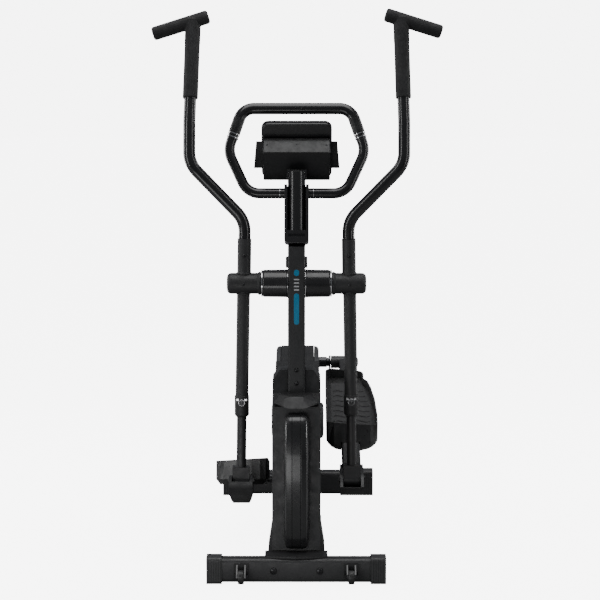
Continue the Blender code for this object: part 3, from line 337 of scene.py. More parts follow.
def rounded_rectangle(width, height, radius, steps=8, centre=(0, 0)):
    """Points of a rectangle with round corners."""
    spots = []
    for i, (sx, sy) in enumerate(((1, 1), (-1, 1), (-1, -1), (1, -1))):
        corner = (centre[0] + sx * (width / 2 - radius), centre[1] + sy * (height / 2 - radius))
        spots += arc(corner, radius, 90 * i, 90 * i + 90, steps)
    return spots


def moved(bm, matrix):
    """The same shape after a transform."""
    bmesh.ops.transform(bm, matrix=matrix, verts=bm.verts)
    return bm


def mirrored(bm, sign=-1):
    """The same shape on the other side, where sign is -1."""
    if sign < 0:
        bmesh.ops.scale(bm, vec=(-1, 1, 1), verts=bm.verts)
        bmesh.ops.reverse_faces(bm, faces=bm.faces)
    return bm


def holder(bm):
    """An object that holds a bmesh, and frees it."""
    bmesh.ops.recalc_face_normals(bm, faces=bm.faces)
    mesh = bpy.data.meshes.new("working")
    bm.to_mesh(mesh)
    bm.free()
    thing = bpy.data.objects.new("working", mesh)
    bpy.context.scene.collection.objects.link(thing)
    return thing


def applied(thing):
    """The object's mesh with its modifiers applied."""
    graph = bpy.context.evaluated_depsgraph_get()
    mesh = bpy.data.meshes.new_from_object(thing.evaluated_get(graph))
    thing.modifiers.clear()
    old = thing.data
    thing.data = mesh
    bpy.data.meshes.remove(old)


def joined(parts, operation):
    """The first solid after a Boolean with each of the others in turn."""
    base = holder(parts[0])
    for part in parts[1:]:
        other = holder(part)
        step = base.modifiers.new("step", "BOOLEAN")
        step.operation = operation
        step.object = other
        applied(base)
        bpy.data.meshes.remove(other.data)
    result = bmesh.new()
    result.from_mesh(base.data)
    bpy.data.meshes.remove(base.data)
    bmesh.ops.remove_doubles(result, verts=result.verts, dist=0.00001)
    return result


def union(*parts):
    return joined(parts, "UNION")


def cut(*parts):
    return joined(parts, "DIFFERENCE")


def gathered(parts):
    """Separate solids in one mesh, such as a set of screws."""
    result = bmesh.new()
    for part in parts:
        mesh = bpy.data.meshes.new("working")
        part.to_mesh(mesh)
        part.free()
        result.from_mesh(mesh)
        bpy.data.meshes.remove(mesh)
    return result


def piece(name, bm, body, look, replaced=(), bevel=0.0, segments=3, smooth=35.0):
    """One finished piece of the object, riding on its body."""
    thing = holder(bm)
    thing.name = name
    thing.data.name = name
    thing.data.shade_smooth()
    if bevel:
        edges = thing.modifiers.new("edges", "BEVEL")
        edges.width = bevel
        edges.segments = segments
        edges.limit_method = "ANGLE"
        edges.angle_limit = math.radians(32)
        edges.miter_outer = "MITER_ARC"
    thing.data.set_sharp_from_angle(angle=math.radians(smooth))
    if bevel:
        weighted = thing.modifiers.new("flats", "WEIGHTED_NORMAL")
        weighted.keep_sharp = False
        applied(thing)
        thing.data.name = name
    thing.data.materials.clear()
    thing.data.materials.append(look)
    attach(thing, body)
    if replaced:
        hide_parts(*replaced)
    return thing


def stand_in(node, bm, bevel=0.0, look=None, segments=3, smooth=35.0):
    """A finely built piece that stands for a CAD node."""
    slot = SLOTS[node]
    body = frame["nodes"][node]["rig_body"]
    return piece(f"{node}_fine", bm, body, look or LOOKS[slot], [node], bevel, segments, smooth)


def refined(node, bevel, look=None, segments=3, smooth=35.0):
    """A copy of a CAD node with its edges rounded."""
    bm = bmesh.new()
    bm.from_mesh(frame["nodes"][node].data)
    bmesh.ops.remove_doubles(bm, verts=bm.verts, dist=0.00001)
    bmesh.ops.dissolve_limit(bm, angle_limit=math.radians(0.6), verts=bm.verts, edges=bm.edges)
    return stand_in(node, bm, bevel, look, segments, smooth)


def facing(spot, direction):
    """Turns a shape built along +Z so that it stands on a spot and points along a direction."""
    turn = Vector((0, 0, 1)).rotation_difference(Vector(direction)).to_matrix().to_4x4()
    return Matrix.Translation(spot) @ turn


def button_head(spot, direction, radius=0.006, height=0.0032):
    """A domed screw head with a hexagon socket, on a thin washer."""
    dome = [(-0.0012, radius * 1.25), (0.0, radius * 1.25), (0.0, radius)]
    for i in range(7):
        angle = math.radians(12 + 78 * i / 6)
        dome.append((height * math.sin(angle), max(radius * math.cos(angle), radius * 0.15)))
    head = lathe(dome, axis="Z", sides=32)
    socket = lathe([(height * 0.25, radius * 0.45), (height * 2, radius * 0.45)], axis="Z", sides=6)
    return moved(cut(head, socket), facing(spot, direction))


def hex_bolt(spot, direction, radius=0.0075, height=0.0055):
    """A hexagon nut on a washer, with the bolt's end standing through it."""
    washer = lathe([(-0.001, radius * 1.3), (0.0013, radius * 1.3)], axis="Z", sides=32)
    nut_line = [(0.0010, radius * 0.97), (0.0014, radius), (height, radius), (height + 0.0008, radius * 0.85)]
    nut = lathe(nut_line, axis="Z", sides=6)
    end = lathe([(0.001, radius * 0.48), (height + 0.002, radius * 0.48), (height + 0.0028, radius * 0.36)],
                axis="Z", sides=24)
    return moved(union(washer, nut, end), facing(spot, direction))


# ---------------------------------------------------------------- linkage


def arm_turn(side):
    """How far an arm leans about the pivot: its lower end lies where two circles meet."""
    start = Vector((PIVOT.y, PIVOT.z))
    line = Vector((PINS[side].y, PINS[side].z)) - start
    along = (line.length**2 + ARM_LENGTH**2 - BAR_LENGTH**2) / (2 * line.length)
    off = math.sqrt(ARM_LENGTH**2 - along**2)
    unit = line.normalized()
    joint = start + unit * along - Vector((-unit.y, unit.x)) * off
    rise = Vector((PINS[side].y, PINS[side].z)) - joint
    return math.asin((joint.x - start.x) / ARM_LENGTH), math.atan2(rise.y, rise.x)


TURNS = {side: arm_turn(side) for side, sign in SIDES}


def on_arm(side):
    """The place of an arm, built about the pivot with its tube straight down."""
    return Matrix.Translation((0, PIVOT.y, PIVOT.z)) @ Matrix.Rotation(TURNS[side][0], 4, "X")


def on_bar(side):
    """The place of a pedal bar, built about its crank pin."""
    pin = PINS[side]
    return Matrix.Translation((0, pin.y, pin.z)) @ Matrix.Rotation(TURNS[side][1], 4, "X")


MAST = Matrix.Translation((0, PIVOT.y, PIVOT.z)) @ Matrix.Rotation(-MAST_LEAN, 4, "X")
UPPER = Matrix.Translation(UPPER_START) @ Matrix.Rotation(-UPPER_LEAN, 4, "X")
CONSOLE = Matrix.Translation(CONSOLE_CENTRE) @ Matrix.Rotation(CONSOLE_LEAN, 4, "X")


# ---------------------------------------------------------------- base and casing


def make_base():
    """Stabilisers, end caps, bolts and transport wheels."""
    for end in ("front", "rear"):
        refined(f"{end}_stabiliser", 0.0)
        for side, sign in SIDES:
            make_end_cap(end, side)
    refined("base_frame", 0.0008)
    bolts = []
    front_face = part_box("front_stabiliser")[0].y
    for x in (-0.064, 0.067):
        bolts.append(button_head((x, front_face - 0.0006, 0.039), (0, -1, 0), 0.0088, 0.0044))
    rear_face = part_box("rear_stabiliser")[1].y
    for x in (-0.060, 0.060):
        bolts.append(button_head((x, rear_face + 0.0006, 0.046), (0, 1, 0), 0.0078, 0.0042))
    piece("stabiliser_bolts", gathered(bolts), "frame", BOLT)
    for side, sign in SIDES:
        refined(f"wheel_bracket_{side}", 0.0006, look=LOOKS["tube_gloss"], segments=2)
        joint = Vector(JOINTS[f"wheel_spin_{side}"]["pos_m"])
        profile = [(-0.0085, 0.0100), (-0.0085, 0.0180), (-0.0072, 0.0193), (-0.0050, 0.0199), (0.0, 0.0200),
                   (0.0050, 0.0199), (0.0072, 0.0193), (0.0085, 0.0180), (0.0085, 0.0100), (0.0070, 0.0085),
                   (0.0070, 0.0045)]
        profile = [(-0.0070, 0.0045), (-0.0070, 0.0085)] + profile
        wheel = cut(lathe(profile, joint), lathe([(-0.02, 0.0042), (0.02, 0.0042)], joint))
        stand_in(f"transport_wheel_{side}", wheel)


def make_end_cap(end, side):
    """A cap with raised ribs across its front and back, and a flat foot."""
    low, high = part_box(f"end_cap_{end}_{side}")
    size = high - low
    middle = (low + high) / 2
    outline = rounded_rectangle(size.y - 0.0032, size.z, 0.010, 8, (middle.y, middle.z))
    parts = [prism(outline, low.x, high.x)]
    ribs = 6
    for i in range(ribs):
        x = low.x + size.x * (i + 0.75) / (ribs + 0.5)
        rib = rounded_rectangle(size.y, size.z - 0.0010, 0.0105, 8, (middle.y, middle.z))
        parts.append(prism(rib, x - 0.0015, x + 0.0015))
    stand_in(f"end_cap_{end}_{side}", union(*parts), 0.0008, segments=2)


def make_casing():
    """Both casing halves, the collar, the inlet and the screws in the sides."""
    for side, sign in SIDES:
        refined(f"casing_{side}", 0.0022, smooth=30)
    # The collar wears the darker copy of the polished casing plastic; its darker colour is painted shade.
    refined("mast_collar", 0.0014, look=SHADED_COLLAR, smooth=20)
    refined("power_inlet", 0.0)
    screws = []
    for side, sign in SIDES:
        wall = sign * 0.0695
        for y, z in ((FRONT + 0.110, 0.160), (FRONT + 0.110, 0.420), (FRONT + 0.300, 0.470),
                     (FRONT + 0.420, 0.130), (FRONT + 0.520, 0.420), (FRONT + 0.560, 0.100)):
            screws.append(button_head((wall, y, z), (sign, 0, 0), 0.0040, 0.0018))
    piece("casing_screws", gathered(screws), "frame", BOLT)


def cover_spot(angle):
    """A point of the flywheel cover's front curve and its outward direction, in (y, z)."""
    share = max(0.0, math.cos(angle))
    reach = 0.072 * share**0.5
    spot = Vector((FRONT + 0.068 - reach, COVER_MIDDLE + COVER_HALF * math.sin(angle)))
    return spot, Vector((-math.cos(angle) * 0.9, math.sin(angle) * 0.6)).normalized()


def make_flywheel_cover():
    """A raised band down the casing's front: flat in the middle, creased, falling away at both sides."""
    section = [(-0.0357, 0.060), (-0.0357, 0.027), (-0.0340, 0.0165), (-0.0300, 0.0055), (-0.0285, 0.0030),
               (-0.0262, 0.0018), (-0.0212, 0.0012), (-0.0195, 0.0004), (-0.0150, 0.0000), (-0.0128, 0.0000),
               (-0.0120, 0.0009), (-0.0112, 0.0000)]
    section += [(-x, depth) for x, depth in reversed(section)]
    rings = []
    steps = 72
    for i in range(steps + 1):
        angle = math.radians(-88 + 176 * i / steps)
        spot, out = cover_spot(angle)
        ring = []
        for x, depth in section:
            place = spot - out * depth
            ring.append(Vector((x, place.x, place.y)))
        rings.append(ring)
    front_view = rounded_rectangle(COVER_WIDTH, 2 * COVER_HALF, 0.022, 10, (0, COVER_MIDDLE))
    band = joined((skin(rings), prism(front_view, FRONT - 0.05, FRONT + 0.15, "Y")), "INTERSECT")
    back_view = rounded_rectangle(COVER_WIDTH - 0.0012, 2 * COVER_HALF - 0.0012, 0.0214, 10,
                                  (0, COVER_MIDDLE))
    plinth = prism(back_view, *COVER_SEAT, "Y")
    stand_in("flywheel_cover", union(band, plinth), smooth=24)


# ---------------------------------------------------------------- drums


def make_discs():
    """The two drums with their grooves, hub screws and crank pins."""
    for side, sign in SIDES:
        profile = [(DISC_INNER, DISC_RADIUS - 0.0010), (DISC_INNER + 0.0010, DISC_RADIUS)]
        for i in range(9):
            angle = math.radians(90 * i / 8)
            profile.append((DISC_OUTER - 0.0120 + 0.0120 * math.sin(angle),
                            DISC_RADIUS - 0.0120 + 0.0120 * math.cos(angle)))
        profile += [(DISC_OUTER, 0.2180), (DISC_OUTER - 0.0008, 0.2160), (DISC_OUTER - 0.0025, 0.2120)]
        for radius in (0.190, 0.150, 0.110):
            profile += [(DISC_OUTER - 0.0028, radius), (DISC_OUTER - 0.0038, radius - 0.0012),
                        (DISC_OUTER - 0.0038, radius - 0.0030), (DISC_OUTER - 0.0028, radius - 0.0042)]
        profile += [(DISC_OUTER - 0.0028, 0.0610), (DISC_OUTER, 0.0592), (DISC_OUTER + 0.0100, 0.0578),
                    (DISC_OUTER + 0.0130, 0.0560), (HUB_CAP - 0.0012, 0.0520), (HUB_CAP, 0.0480),
                    (HUB_CAP, 0.0200), (HUB_CAP - 0.0015, 0.0185)]
        disc = mirrored(lathe(profile, (0, CRANK.y, CRANK.z), sides=DISC_SIDES), sign)
        pin_place = (0, PINS[side].y, PINS[side].z)
        boss_line = [(DISC_OUTER - 0.0045, 0.0310), (DISC_OUTER - 0.0010, 0.0305), (DISC_OUTER, 0.0290)]
        boss = mirrored(lathe(boss_line, pin_place), sign)
        stand_in(f"crank_disc_{side}", union(disc, boss))
        screws = []
        for i in range(5):
            angle = 2 * math.pi * i / 5
            spot = (sign * (HUB_CAP - 0.0004), CRANK.y + 0.034 * math.cos(angle),
                    CRANK.z + 0.034 * math.sin(angle))
            screws.append(button_head(spot, (sign, 0, 0), 0.0036, 0.0018))
        piece(f"hub_screws_{side}", gathered(screws), "crank", BOLT)
        pin = lathe([(DISC_OUTER + 0.0003, 0.0170), (0.0935, 0.0170), (0.0945, 0.0160), (0.0960, 0.0140),
                     (0.1010, 0.0140), (0.1012, 0.0210), (0.1020, 0.0215), (0.1062, 0.0215), (0.1070, 0.0205),
                     (0.1070, 0.0080), (0.1912, 0.0080), (0.1912, 0.0135), (0.1918, 0.0140), (0.1945, 0.0140),
                     (0.1960, 0.0120), (0.1970, 0.0090)], pin_place)
        stand_in(f"crank_pin_{side}", mirrored(pin, sign), look=BOLT)


# ---------------------------------------------------------------- mast and console


def make_mast():
    """The mast with its bolts, its stripe and its cover."""
    refined("mast", 0.0010, smooth=40)
    bolts = []
    for z in (0.588, 0.550):
        face_y = PIVOT.y - MAST_DEPTH / 2 / math.cos(MAST_LEAN) - (PIVOT.z - z) * math.tan(MAST_LEAN)
        direction = (0, -math.cos(MAST_LEAN), math.sin(MAST_LEAN))
        bolts.append(button_head((0.0, face_y, z), direction, 0.0055, 0.0032))
    piece("mast_bolts", gathered(bolts), "frame", BOLT)
    make_stripe()
    refined("mast_cover", 0.0012)


def make_stripe():
    """A plain two-tone stripe on the mast's front: no mark and no letters."""
    face = -MAST_DEPTH / 2
    for name, look, spans in (("stripe_blue", STRIPE_BLUE, ((-0.118, -0.028), (0.022, 0.040))),
                              ("stripe_grey", STRIPE_GREY, ((-0.020, -0.016), (-0.010, -0.006), (0.0, 0.004),
                                                            (0.010, 0.014)))):
        bars = []
        for low, high in spans:
            outline = rounded_rectangle(0.0150, high - low, min(0.0070, (high - low) / 2.2), 6,
                                        (0.0, (low + high) / 2))
            bars.append(moved(prism(outline, face - 0.0003, face + 0.0003, "Y"), MAST))
        piece(name, gathered(bars), "frame", look)


def make_post():
    """The glossy column that carries the console."""
    top = 0.2120
    outline = [Vector((0, -0.0165, 0.0405)), Vector((0, -0.0165, top))]
    column = tube(outline, 0.0235, 64, (0.0256, 0.0238))
    lug = block((-0.0290, -0.0160, 0.196), (0.0290, -0.0060, 0.219))
    blank = moved(prism([(-0.017, 0.0465), (-0.0405, 0.0445), (-0.0755, 0.026), (-0.0605, -0.0705),
                         (-0.017, -0.0845)], -0.098, 0.098), CONSOLE)
    stand_in("console_post", cut(moved(union(column, lug), UPPER), blank), 0.0008, segments=2)


def loop_corners():
    """The fixed handlebar's lower seat and its widest corner, on the left."""
    low = UPPER @ LOOP_SEAT
    side = Vector((LOOP_SIDE_X, (low.y + LOOP_TOP.y) / 2, (low.z + LOOP_TOP.z) / 2))
    return low, side


def make_loop():
    """The fixed handlebar with its bright rings, sleeves and bands."""
    low, side = loop_corners()
    corners = [(0, LOOP_TOP.y, LOOP_TOP.z), LOOP_TOP, side, (LOOP_LOW_X, low.y, low.z), (0, low.y, low.z)]
    half = bent(corners, [0.045, 0.070, 0.055], 16)
    other = [Vector((-spot.x, spot.y, spot.z)) for spot in half]
    path = half[:-1] + other[::-1][:-1]
    along = (side - LOOP_TOP).normalized()
    ring_spot = LOOP_TOP + along * 0.086

    def thickness(spot):
        """Radius of the tube: thicker above the bright rings."""
        share = min(1.0, max(0.0, (spot.z - ring_spot.z - 0.0075) / 0.0010))
        return 0.0152 + 0.0018 * share

    closed = []
    across = Vector((0, (LOOP_TOP - low).z, -(LOOP_TOP - low).y)).normalized()
    count = len(path)
    for i, spot in enumerate(path):
        tangent = (path[(i + 1) % count] - path[i - 1]).normalized()
        other_way = tangent.cross(across).normalized()
        ring = []
        for k in range(FINE_SIDES):
            angle = 2 * math.pi * k / FINE_SIDES
            ring.append(spot + (across * math.cos(angle) + other_way * math.sin(angle)) * thickness(spot))
        closed.append(ring)
    stand_in("pulse_handlebar", skin(closed + [closed[0]], closed=False))
    for name, sign in SIDES:
        rings = []
        for offset in (-0.0075, 0.0035):
            spot = LOOP_TOP + along * (0.086 + offset)
            band = [(0.0, 0.0156), (0.0006, 0.0174), (0.0034, 0.0174), (0.0040, 0.0156)]
            rings.append(mirrored(moved(lathe(band, axis="Z"), facing(spot, along)), sign))
        stand_in(f"pulse_ring_{name}", gathered(rings))
        sleeve = tube([LOOP_TOP + along * 0.030, LOOP_TOP + along * 0.0775], 0.0174, round_end=0.001)
        piece(f"pulse_sleeve_{name}", mirrored(sleeve, sign), "frame", LOOKS["console"])
    low_bands = []
    for sign in (-1, 1):
        band = [(0.0, 0.0154), (0.0004, 0.0160), (0.0016, 0.0160), (0.0020, 0.0154)]
        low_bands.append(mirrored(lathe(band, (0.0480, low.y, low.z)), sign))
    piece("lower_bands", gathered(low_bands), "frame", LOOKS["chrome"])
    clips = [button_head((x, LOOP_TOP.y - 0.0167, LOOP_TOP.z + 0.001), (0, -1, 0.1), 0.0024, 0.0012)
             for x in (-0.004, 0.014)]
    piece("loop_screws", gathered(clips), "frame", BOLT)


def make_console():
    """The console with its keys, display fields and screws."""
    refined("console_shell", 0.0022)
    refined("console_face", 0.0016)
    refined("console_lens", 0.0004, segments=2)
    refined("tablet_holder", 0.0008, segments=2)
    screws = []
    upper = Vector((0, -0.018, 0.035)).normalized()
    for x, along in ((-0.086, 0.30), (0.0, 0.25), (0.086, 0.30)):
        edge = Vector((x, -0.040, 0.044)).lerp(Vector((x, -0.075, 0.026)), along)
        screws.append(moved(button_head(edge, upper, 0.0030, 0.0014), CONSOLE))
    lower = Vector((0, -0.096, -0.015)).normalized()
    for x in (-0.086, 0.086):
        screws.append(moved(button_head((x, -0.0690, -0.012), lower, 0.0030, 0.0014), CONSOLE))
    piece("console_screws", gathered(screws), "frame", BOLT)
    for number in range(1, 5):
        low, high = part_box(f"console_button_{number}")
        x = (low.x + high.x) / 2
        key = lathe([(-0.0065, 0.0072), (-0.0060, 0.0075), (0.0020, 0.0075), (0.0030, 0.0069),
                     (0.0034, 0.0058), (0.0032, 0.0040), (0.0029, 0.0020)], axis="Y", sides=40)
        stand_in(f"console_button_{number}", moved(key, CONSOLE @ Matrix.Translation((x, 0.013, -0.032))))
    fields = []
    for column in range(3):
        for row, height in ((0, 0.020), (1, 0.034)):
            outline = rounded_rectangle(0.044, height, 0.0020, 4,
                                        (-0.049 + 0.049 * column, 0.010 + 0.036 * row))
            fields.append(moved(prism(outline, 0.0122, 0.0125, "Y"), CONSOLE))
    piece("display_fields", gathered(fields), "frame", SEGMENTS)


# ---------------------------------------------------------------- arms


def make_axle():
    """Covers and bright rings round the cross axle."""
    for side, sign in SIDES:
        centre = (0, PIVOT.y, PIVOT.z)
        cover = lathe([(0.0253, 0.0388), (0.0262, 0.0400), (0.0290, 0.0412), (0.0310, 0.0408),
                       (0.0330, 0.0402), (0.0930, 0.0395), (0.0958, 0.0388), (0.0975, 0.0370),
                       (0.0975, 0.0140)], centre)
        stand_in(f"axle_cover_{side}", mirrored(cover, sign))
        ring = lathe([(0.0980, 0.0374), (0.0986, 0.0385), (0.1014, 0.0385), (0.1020, 0.0374)], centre)
        stand_in(f"axle_ring_{side}", mirrored(ring, sign))
        inner = lathe([(0.0251, 0.0414), (0.0253, 0.0418), (0.0259, 0.0418), (0.0262, 0.0412)], centre)
        piece(f"cover_band_{side}", mirrored(inner, sign), "frame", LOOKS["chrome"])


def weld(centre, direction, radius, size=0.0022):
    """A bead of weld round a tube."""
    direction = Vector(direction).normalized()
    start = direction.orthogonal().normalized()
    other = direction.cross(start)
    rings = []
    steps = 64
    for i in range(steps):
        angle = 2 * math.pi * i / steps
        out = start * math.cos(angle) + other * math.sin(angle)
        width = size * (1 + 0.14 * math.sin(20 * angle))
        rings.append([Vector(centre) + out * (radius + width * math.cos(t)) + direction * width * math.sin(t)
                      for t in (2 * math.pi * k / 10 for k in range(10))])
    return skin(rings + [rings[0]], closed=False)


def swing_arm():
    """Hub, upper socket and lower tube in one welding, about the pivot, for the left side."""
    hub = lathe([(0.1025, 0.0315), (0.1035, 0.0328), (0.1058, 0.0340), (0.1085, 0.0338), (0.1130, 0.0306),
                 (0.1150, 0.0305), (0.1890, 0.0305), (0.1930, 0.0300), (0.1965, 0.0285), (0.1995, 0.0255),
                 (0.2012, 0.0215), (0.2020, 0.0170)], sides=64)
    socket = tube([(ARM_X - 0.001, 0, 0), (0.1505, 0, 0.1300)], 0.0200, 64)
    lower = tube([(ARM_X, 0, 0), (0.1597, 0, -0.3500)], 0.0190, 64)
    collar = lathe([(-0.3905, 0.0158), (-0.3900, 0.0168), (-0.3850, 0.0209), (-0.3840, 0.0212),
                    (-0.3290, 0.0212), (-0.3280, 0.0203)], (0.1596, 0, 0), "Z", 64)
    bore = lathe([(0.0900, AXLE_BORE), (0.1905, AXLE_BORE)], sides=64)
    return cut(union(hub, socket, lower, collar), bore)


def handlebar_path(steps=16):
    """The left handlebar's middle line, about the pivot."""
    corners = [(0.1504, 0.0, 0.1315), (0.1490, -0.001, 0.1820), (0.3080, -0.022, 0.3480),
               (0.3085, 0.006, 0.4650), (0.3010, 0.097, 0.7590)]
    return bent(corners, [0.080, 0.075, 0.300], steps)


GRIP_OUTER = Vector((0.4190, 0.097, 0.7190))
GRIP_INNER = Vector((0.2560, 0.097, 0.7700))
GRIP_START = 0.5335
FOAM_VOXEL = 0.0016


def make_grip(side, sign):
    """Foam over the handlebar's top and its cross bar, drawn together where they meet."""
    top, low = handlebar_path()[-1], handlebar_path()[-2]
    begin = low.lerp(top, (GRIP_START - low.z) / (top.z - low.z))
    along = (GRIP_OUTER - GRIP_INNER).normalized()
    length = (GRIP_OUTER - GRIP_INNER).length
    crown = [(0.0, 0.0140), (0.0012, 0.0172), (0.0035, 0.0192), (0.0070, 0.0202)]
    profile = crown + [(length - a, r) for a, r in reversed(crown)]
    bar = moved(lathe(profile, axis="Z"), facing(GRIP_INNER, along))
    meet = GRIP_INNER.lerp(GRIP_OUTER, 0.28)
    stem = tube([begin, begin.lerp(top, 0.5), top], 0.0222)
    flare = tube([top.lerp(begin, 0.30), top.lerp(begin, 0.15), meet], 0.0228)
    foam = moved(union(union(bar, stem), flare), on_arm(side))
    thing = holder(mirrored(foam, sign))
    soften = thing.modifiers.new("soften", "REMESH")
    soften.mode = "VOXEL"
    soften.voxel_size = FOAM_VOXEL
    relax = thing.modifiers.new("relax", "SMOOTH")
    relax.iterations = 4
    relax.factor = 0.5
    applied(thing)
    bm = bmesh.new()
    bm.from_mesh(thing.data)
    bpy.data.meshes.remove(thing.data)
    foam = stand_in(f"grip_{side}", bm, smooth=180)


def lower_arm():
    """The thin adjustable tube, with the joint barrel at its end."""
    shaft = tube([(0.1601, 0, -0.3911), (BAR_X, 0, -ARM_LENGTH)], 0.0142, 48)
    half = SHOE_HALF
    barrel = lathe([(BAR_X - half, 0.0200), (BAR_X - half + 0.0015, 0.0218), (BAR_X - half + 0.0030, 0.0220),
                    (BAR_X + half - 0.0030, 0.0220), (BAR_X + half - 0.0015, 0.0218), (BAR_X + half, 0.0200)],
                   (0, 0, -ARM_LENGTH))
    shoe = moved(block((-half, -0.0200, -0.004), (half, 0.0200, 0.0440)),
                 Matrix.Translation((BAR_X, 0, -ARM_LENGTH)))
    return union(shaft, barrel, shoe)


def make_arms():
    """Both arms with their tubes, handlebars, grips, welds and bolts."""
    for side, sign in SIDES:
        place = on_arm(side)
        body = f"arm_{side}"

        def placed(bm):
            return mirrored(moved(bm, place), sign)

        stand_in(f"swing_arm_{side}", placed(swing_arm()), smooth=40)
        stand_in(f"lower_arm_{side}", placed(lower_arm()), 0.0035, segments=4)
        stand_in(f"handlebar_{side}", placed(tube(handlebar_path(), HANDLEBAR_RADIUS)))
        make_grip(side, sign)
        beads = [weld((ARM_X - 0.0015, 0, 0.0300), (-0.003, 0, 0.13), 0.0198),
                 weld((ARM_X + 0.0006, 0, -0.0300), (0.0062, 0, -0.35), 0.0188)]
        piece(f"arm_welds_{side}", placed(gathered(beads)), body, LOOKS["steel_black"])
        bolts = [button_head((0.1512, -0.0197, 0.082), (0, -1, 0), 0.0050, 0.0030),
                 button_head((ARM_X, -0.0303, 0.0), (0, -1, 0), 0.0045, 0.0015)]
        piece(f"arm_bolts_{side}", placed(gathered(bolts)), body, BOLT)
        washer = lathe([(-0.0240, 0.0092), (-0.0233, 0.0098), (-0.0205, 0.0098)], (CLAMP_X, 0, CLAMP_Z),
                       "Y", 40)
        tabs = [block((CLAMP_X + low, -0.0225, -0.3410), (CLAMP_X + high, -0.0195, -0.3350))
                for low, high in ((-0.0150, -0.0085), (0.0085, 0.0150))]
        stand_in(f"clamp_bolt_{side}", placed(gathered([washer] + tabs)), 0.0003, segments=2)
        head = hex_bolt((CLAMP_X, -0.0238, CLAMP_Z), (0, -1, 0), 0.0066, 0.0048)
        piece(f"clamp_head_{side}", placed(head), body, BOLT)


# ---------------------------------------------------------------- pedals


def make_pedal_bars():
    """Both pedal bars with their pedals."""
    for side, sign in SIDES:
        refined(f"pedal_bar_{side}", 0.0016, smooth=38)
        refined(f"pedal_{side}", 0.0016, smooth=38)
        make_tread(side, sign)


def tread_half_width(v):
    """Half-widths of the tread, inner and outer, at a distance from the toe."""
    outer = 0.063 if v < 0.220 else 0.063 - (v - 0.220) * 0.20
    return 0.062, outer


def make_tread(side, sign):
    """A rubber mat on the pedal's floor with wavy ribs in two columns."""
    front = -BAR_LENGTH + 0.158
    floor = 0.0262
    inner, outer = [], []
    steps = 16
    for i in range(steps + 1):
        v = 0.058 + (0.350 - 0.058) * i / steps
        low, high = tread_half_width(v)
        inner.append((PEDAL_X - low, front + v))
        outer.append((PEDAL_X + high, front + v))
    mat = prism(outer + inner[::-1], floor, floor + 0.0012, "Z")
    ribs = []
    rows = 8
    for row in range(rows):
        v = 0.090 + 0.030 * row
        low, high = tread_half_width(v)
        for start, end in ((-low + 0.007, -0.009), (0.009, high - 0.007)):
            path = []
            for i in range(13):
                x = start + (end - start) * i / 12
                wave = 0.0035 * math.sin(2 * math.pi * i / 12)
                path.append(Vector((PEDAL_X + x, front + v + wave, floor + 0.0011)))
            ribs.append(tube(path, 0.0020, 12, (0.0022, 0.0022), round_end=0.0020))
    tread = gathered([mat] + ribs)
    place = on_bar(side)
    piece(f"pedal_tread_{side}", mirrored(moved(tread, place), sign), f"pedal_bar_{side}", TREAD)


# ---------------------------------------------------------------- inside


def finish_inside():
    """The drive inside the casing keeps its CAD shapes and gets its materials."""
    for node in ("crank_axle", "drive_pulley", "drive_belt", "flywheel", "flywheel_axle", "idler_pulley",
                 "brake_bracket", "cross_axle"):
        thing = frame["nodes"][node]
        thing.data.materials.clear()
        thing.data.materials.append(LOOKS[SLOTS[node]])


# ---------------------------------------------------------------- stage


def area_light(name, place, aim, width, height, power):
    """A soft light that the camera does not see."""
    data = bpy.data.lights.new(name, "AREA")
    data.shape = "RECTANGLE"
    data.size = width
    data.size_y = height
    data.energy = power
    thing = bpy.data.objects.new(name, data)
    thing.location = place
    thing.rotation_euler = (Vector(aim) - Vector(place)).to_track_quat("-Z", "Y").to_euler()
    thing.visible_camera = False
    bpy.context.scene.collection.objects.link(thing)


def seen_or_lighting(tree, seen, lighting):
    """One shader where the camera looks straight at it, another where it lights the object."""
    path = tree.nodes.new("ShaderNodeLightPath")
    mix = tree.nodes.new("ShaderNodeMixShader")
    tree.links.new(path.outputs["Is Camera Ray"], mix.inputs["Fac"])
    tree.links.new(lighting, mix.inputs[1])
    tree.links.new(seen, mix.inputs[2])
    return mix.outputs["Shader"]


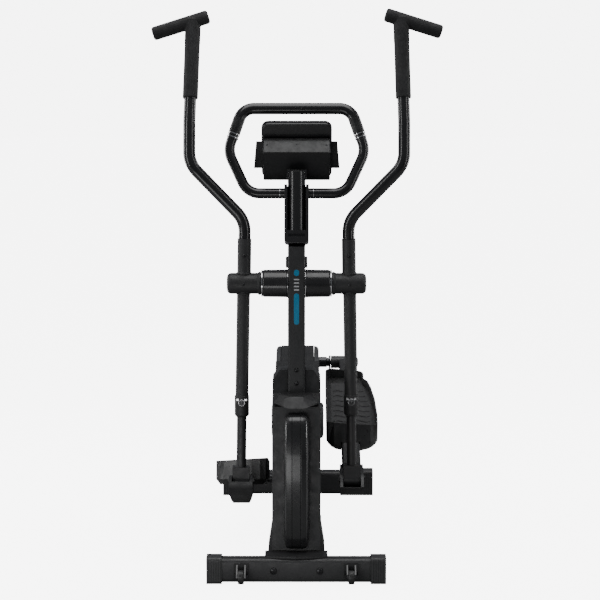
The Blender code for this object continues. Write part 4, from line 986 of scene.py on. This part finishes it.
def make_floor():
    """A pale floor, bright as an overexposed studio sweep, with the object's soft shadow left in it."""
    bm = bmesh.new()
    bmesh.ops.create_grid(bm, x_segments=1, y_segments=1, size=30.0)
    floor = holder(bm)
    floor.name = "studio_floor"
    look = bpy.data.materials.new("studio_floor")
    look.use_nodes = True
    tree = look.node_tree
    tree.nodes.clear()
    out = tree.nodes.new("ShaderNodeOutputMaterial")
    paper = tree.nodes.new("ShaderNodeBsdfDiffuse")
    paper.inputs["Color"].default_value = (0.9, 0.9, 0.9, 1)
    dim = tree.nodes.new("ShaderNodeBsdfDiffuse")
    dim.inputs["Color"].default_value = (0.30, 0.30, 0.30, 1)
    glow = tree.nodes.new("ShaderNodeEmission")
    glow.inputs["Strength"].default_value = WHITE_GLOW
    both = tree.nodes.new("ShaderNodeAddShader")
    tree.links.new(paper.outputs["BSDF"], both.inputs[0])
    tree.links.new(glow.outputs["Emission"], both.inputs[1])
    shade = seen_or_lighting(tree, both.outputs["Shader"], dim.outputs["BSDF"])
    tree.links.new(shade, out.inputs["Surface"])
    floor.data.materials.append(look)


def make_stage():
    """The floor, a white surround and the studio lights."""
    make_floor()
    world = bpy.data.worlds.new("studio")
    world.use_nodes = True
    tree = world.node_tree
    backdrop = tree.nodes["Background"]
    backdrop.inputs["Color"].default_value = (1, 1, 1, 1)
    backdrop.inputs["Strength"].default_value = WHITE_GLOW
    soft = tree.nodes.new("ShaderNodeBackground")
    soft.inputs["Color"].default_value = (0.9, 0.94, 1.0, 1)
    soft.inputs["Strength"].default_value = 0.14
    shade = seen_or_lighting(tree, backdrop.outputs["Background"], soft.outputs["Background"])
    tree.links.new(shade, tree.nodes["World Output"].inputs["Surface"])
    bpy.context.scene.world = world
    area_light("top_box", (0, -0.4, 3.8), (0, 0, 0.8), 3.0, 3.0, 80)
    area_light("left_strip", (-2.4, -1.8, 1.5), (0, 0, 0.8), 0.30, 2.8, 20)
    area_light("right_strip", (2.4, -1.6, 1.5), (0, 0, 0.8), 0.30, 2.8, 12)
    area_light("left_edge", (-2.6, 0.8, 1.5), (0, 0, 0.9), 0.40, 2.8, 35)
    area_light("right_edge", (2.6, 0.8, 1.5), (0, 0, 0.9), 0.40, 2.8, 30)
    area_light("front_fill", (-0.6, -1.8, 0.15), (0, -0.5, 0.20), 1.4, 0.4, 5)


def make_camera():
    """A long lens nearly straight in front of the machine."""
    data = bpy.data.cameras.new("camera")
    data.sensor_width = 36.0
    data.lens = 117.2
    camera = bpy.data.objects.new("camera", data)
    camera.location = (0.0291, FRONT - 5.420, 1.487)
    camera.rotation_euler = (math.radians(82.88), 0, math.radians(0.195))
    bpy.context.scene.collection.objects.link(camera)
    bpy.context.scene.camera = camera


make_camera()
make_stage()
make_base()
make_casing()
make_flywheel_cover()
make_discs()
make_mast()
make_post()
make_loop()
make_console()
make_axle()
make_arms()
make_pedal_bars()
finish_inside()
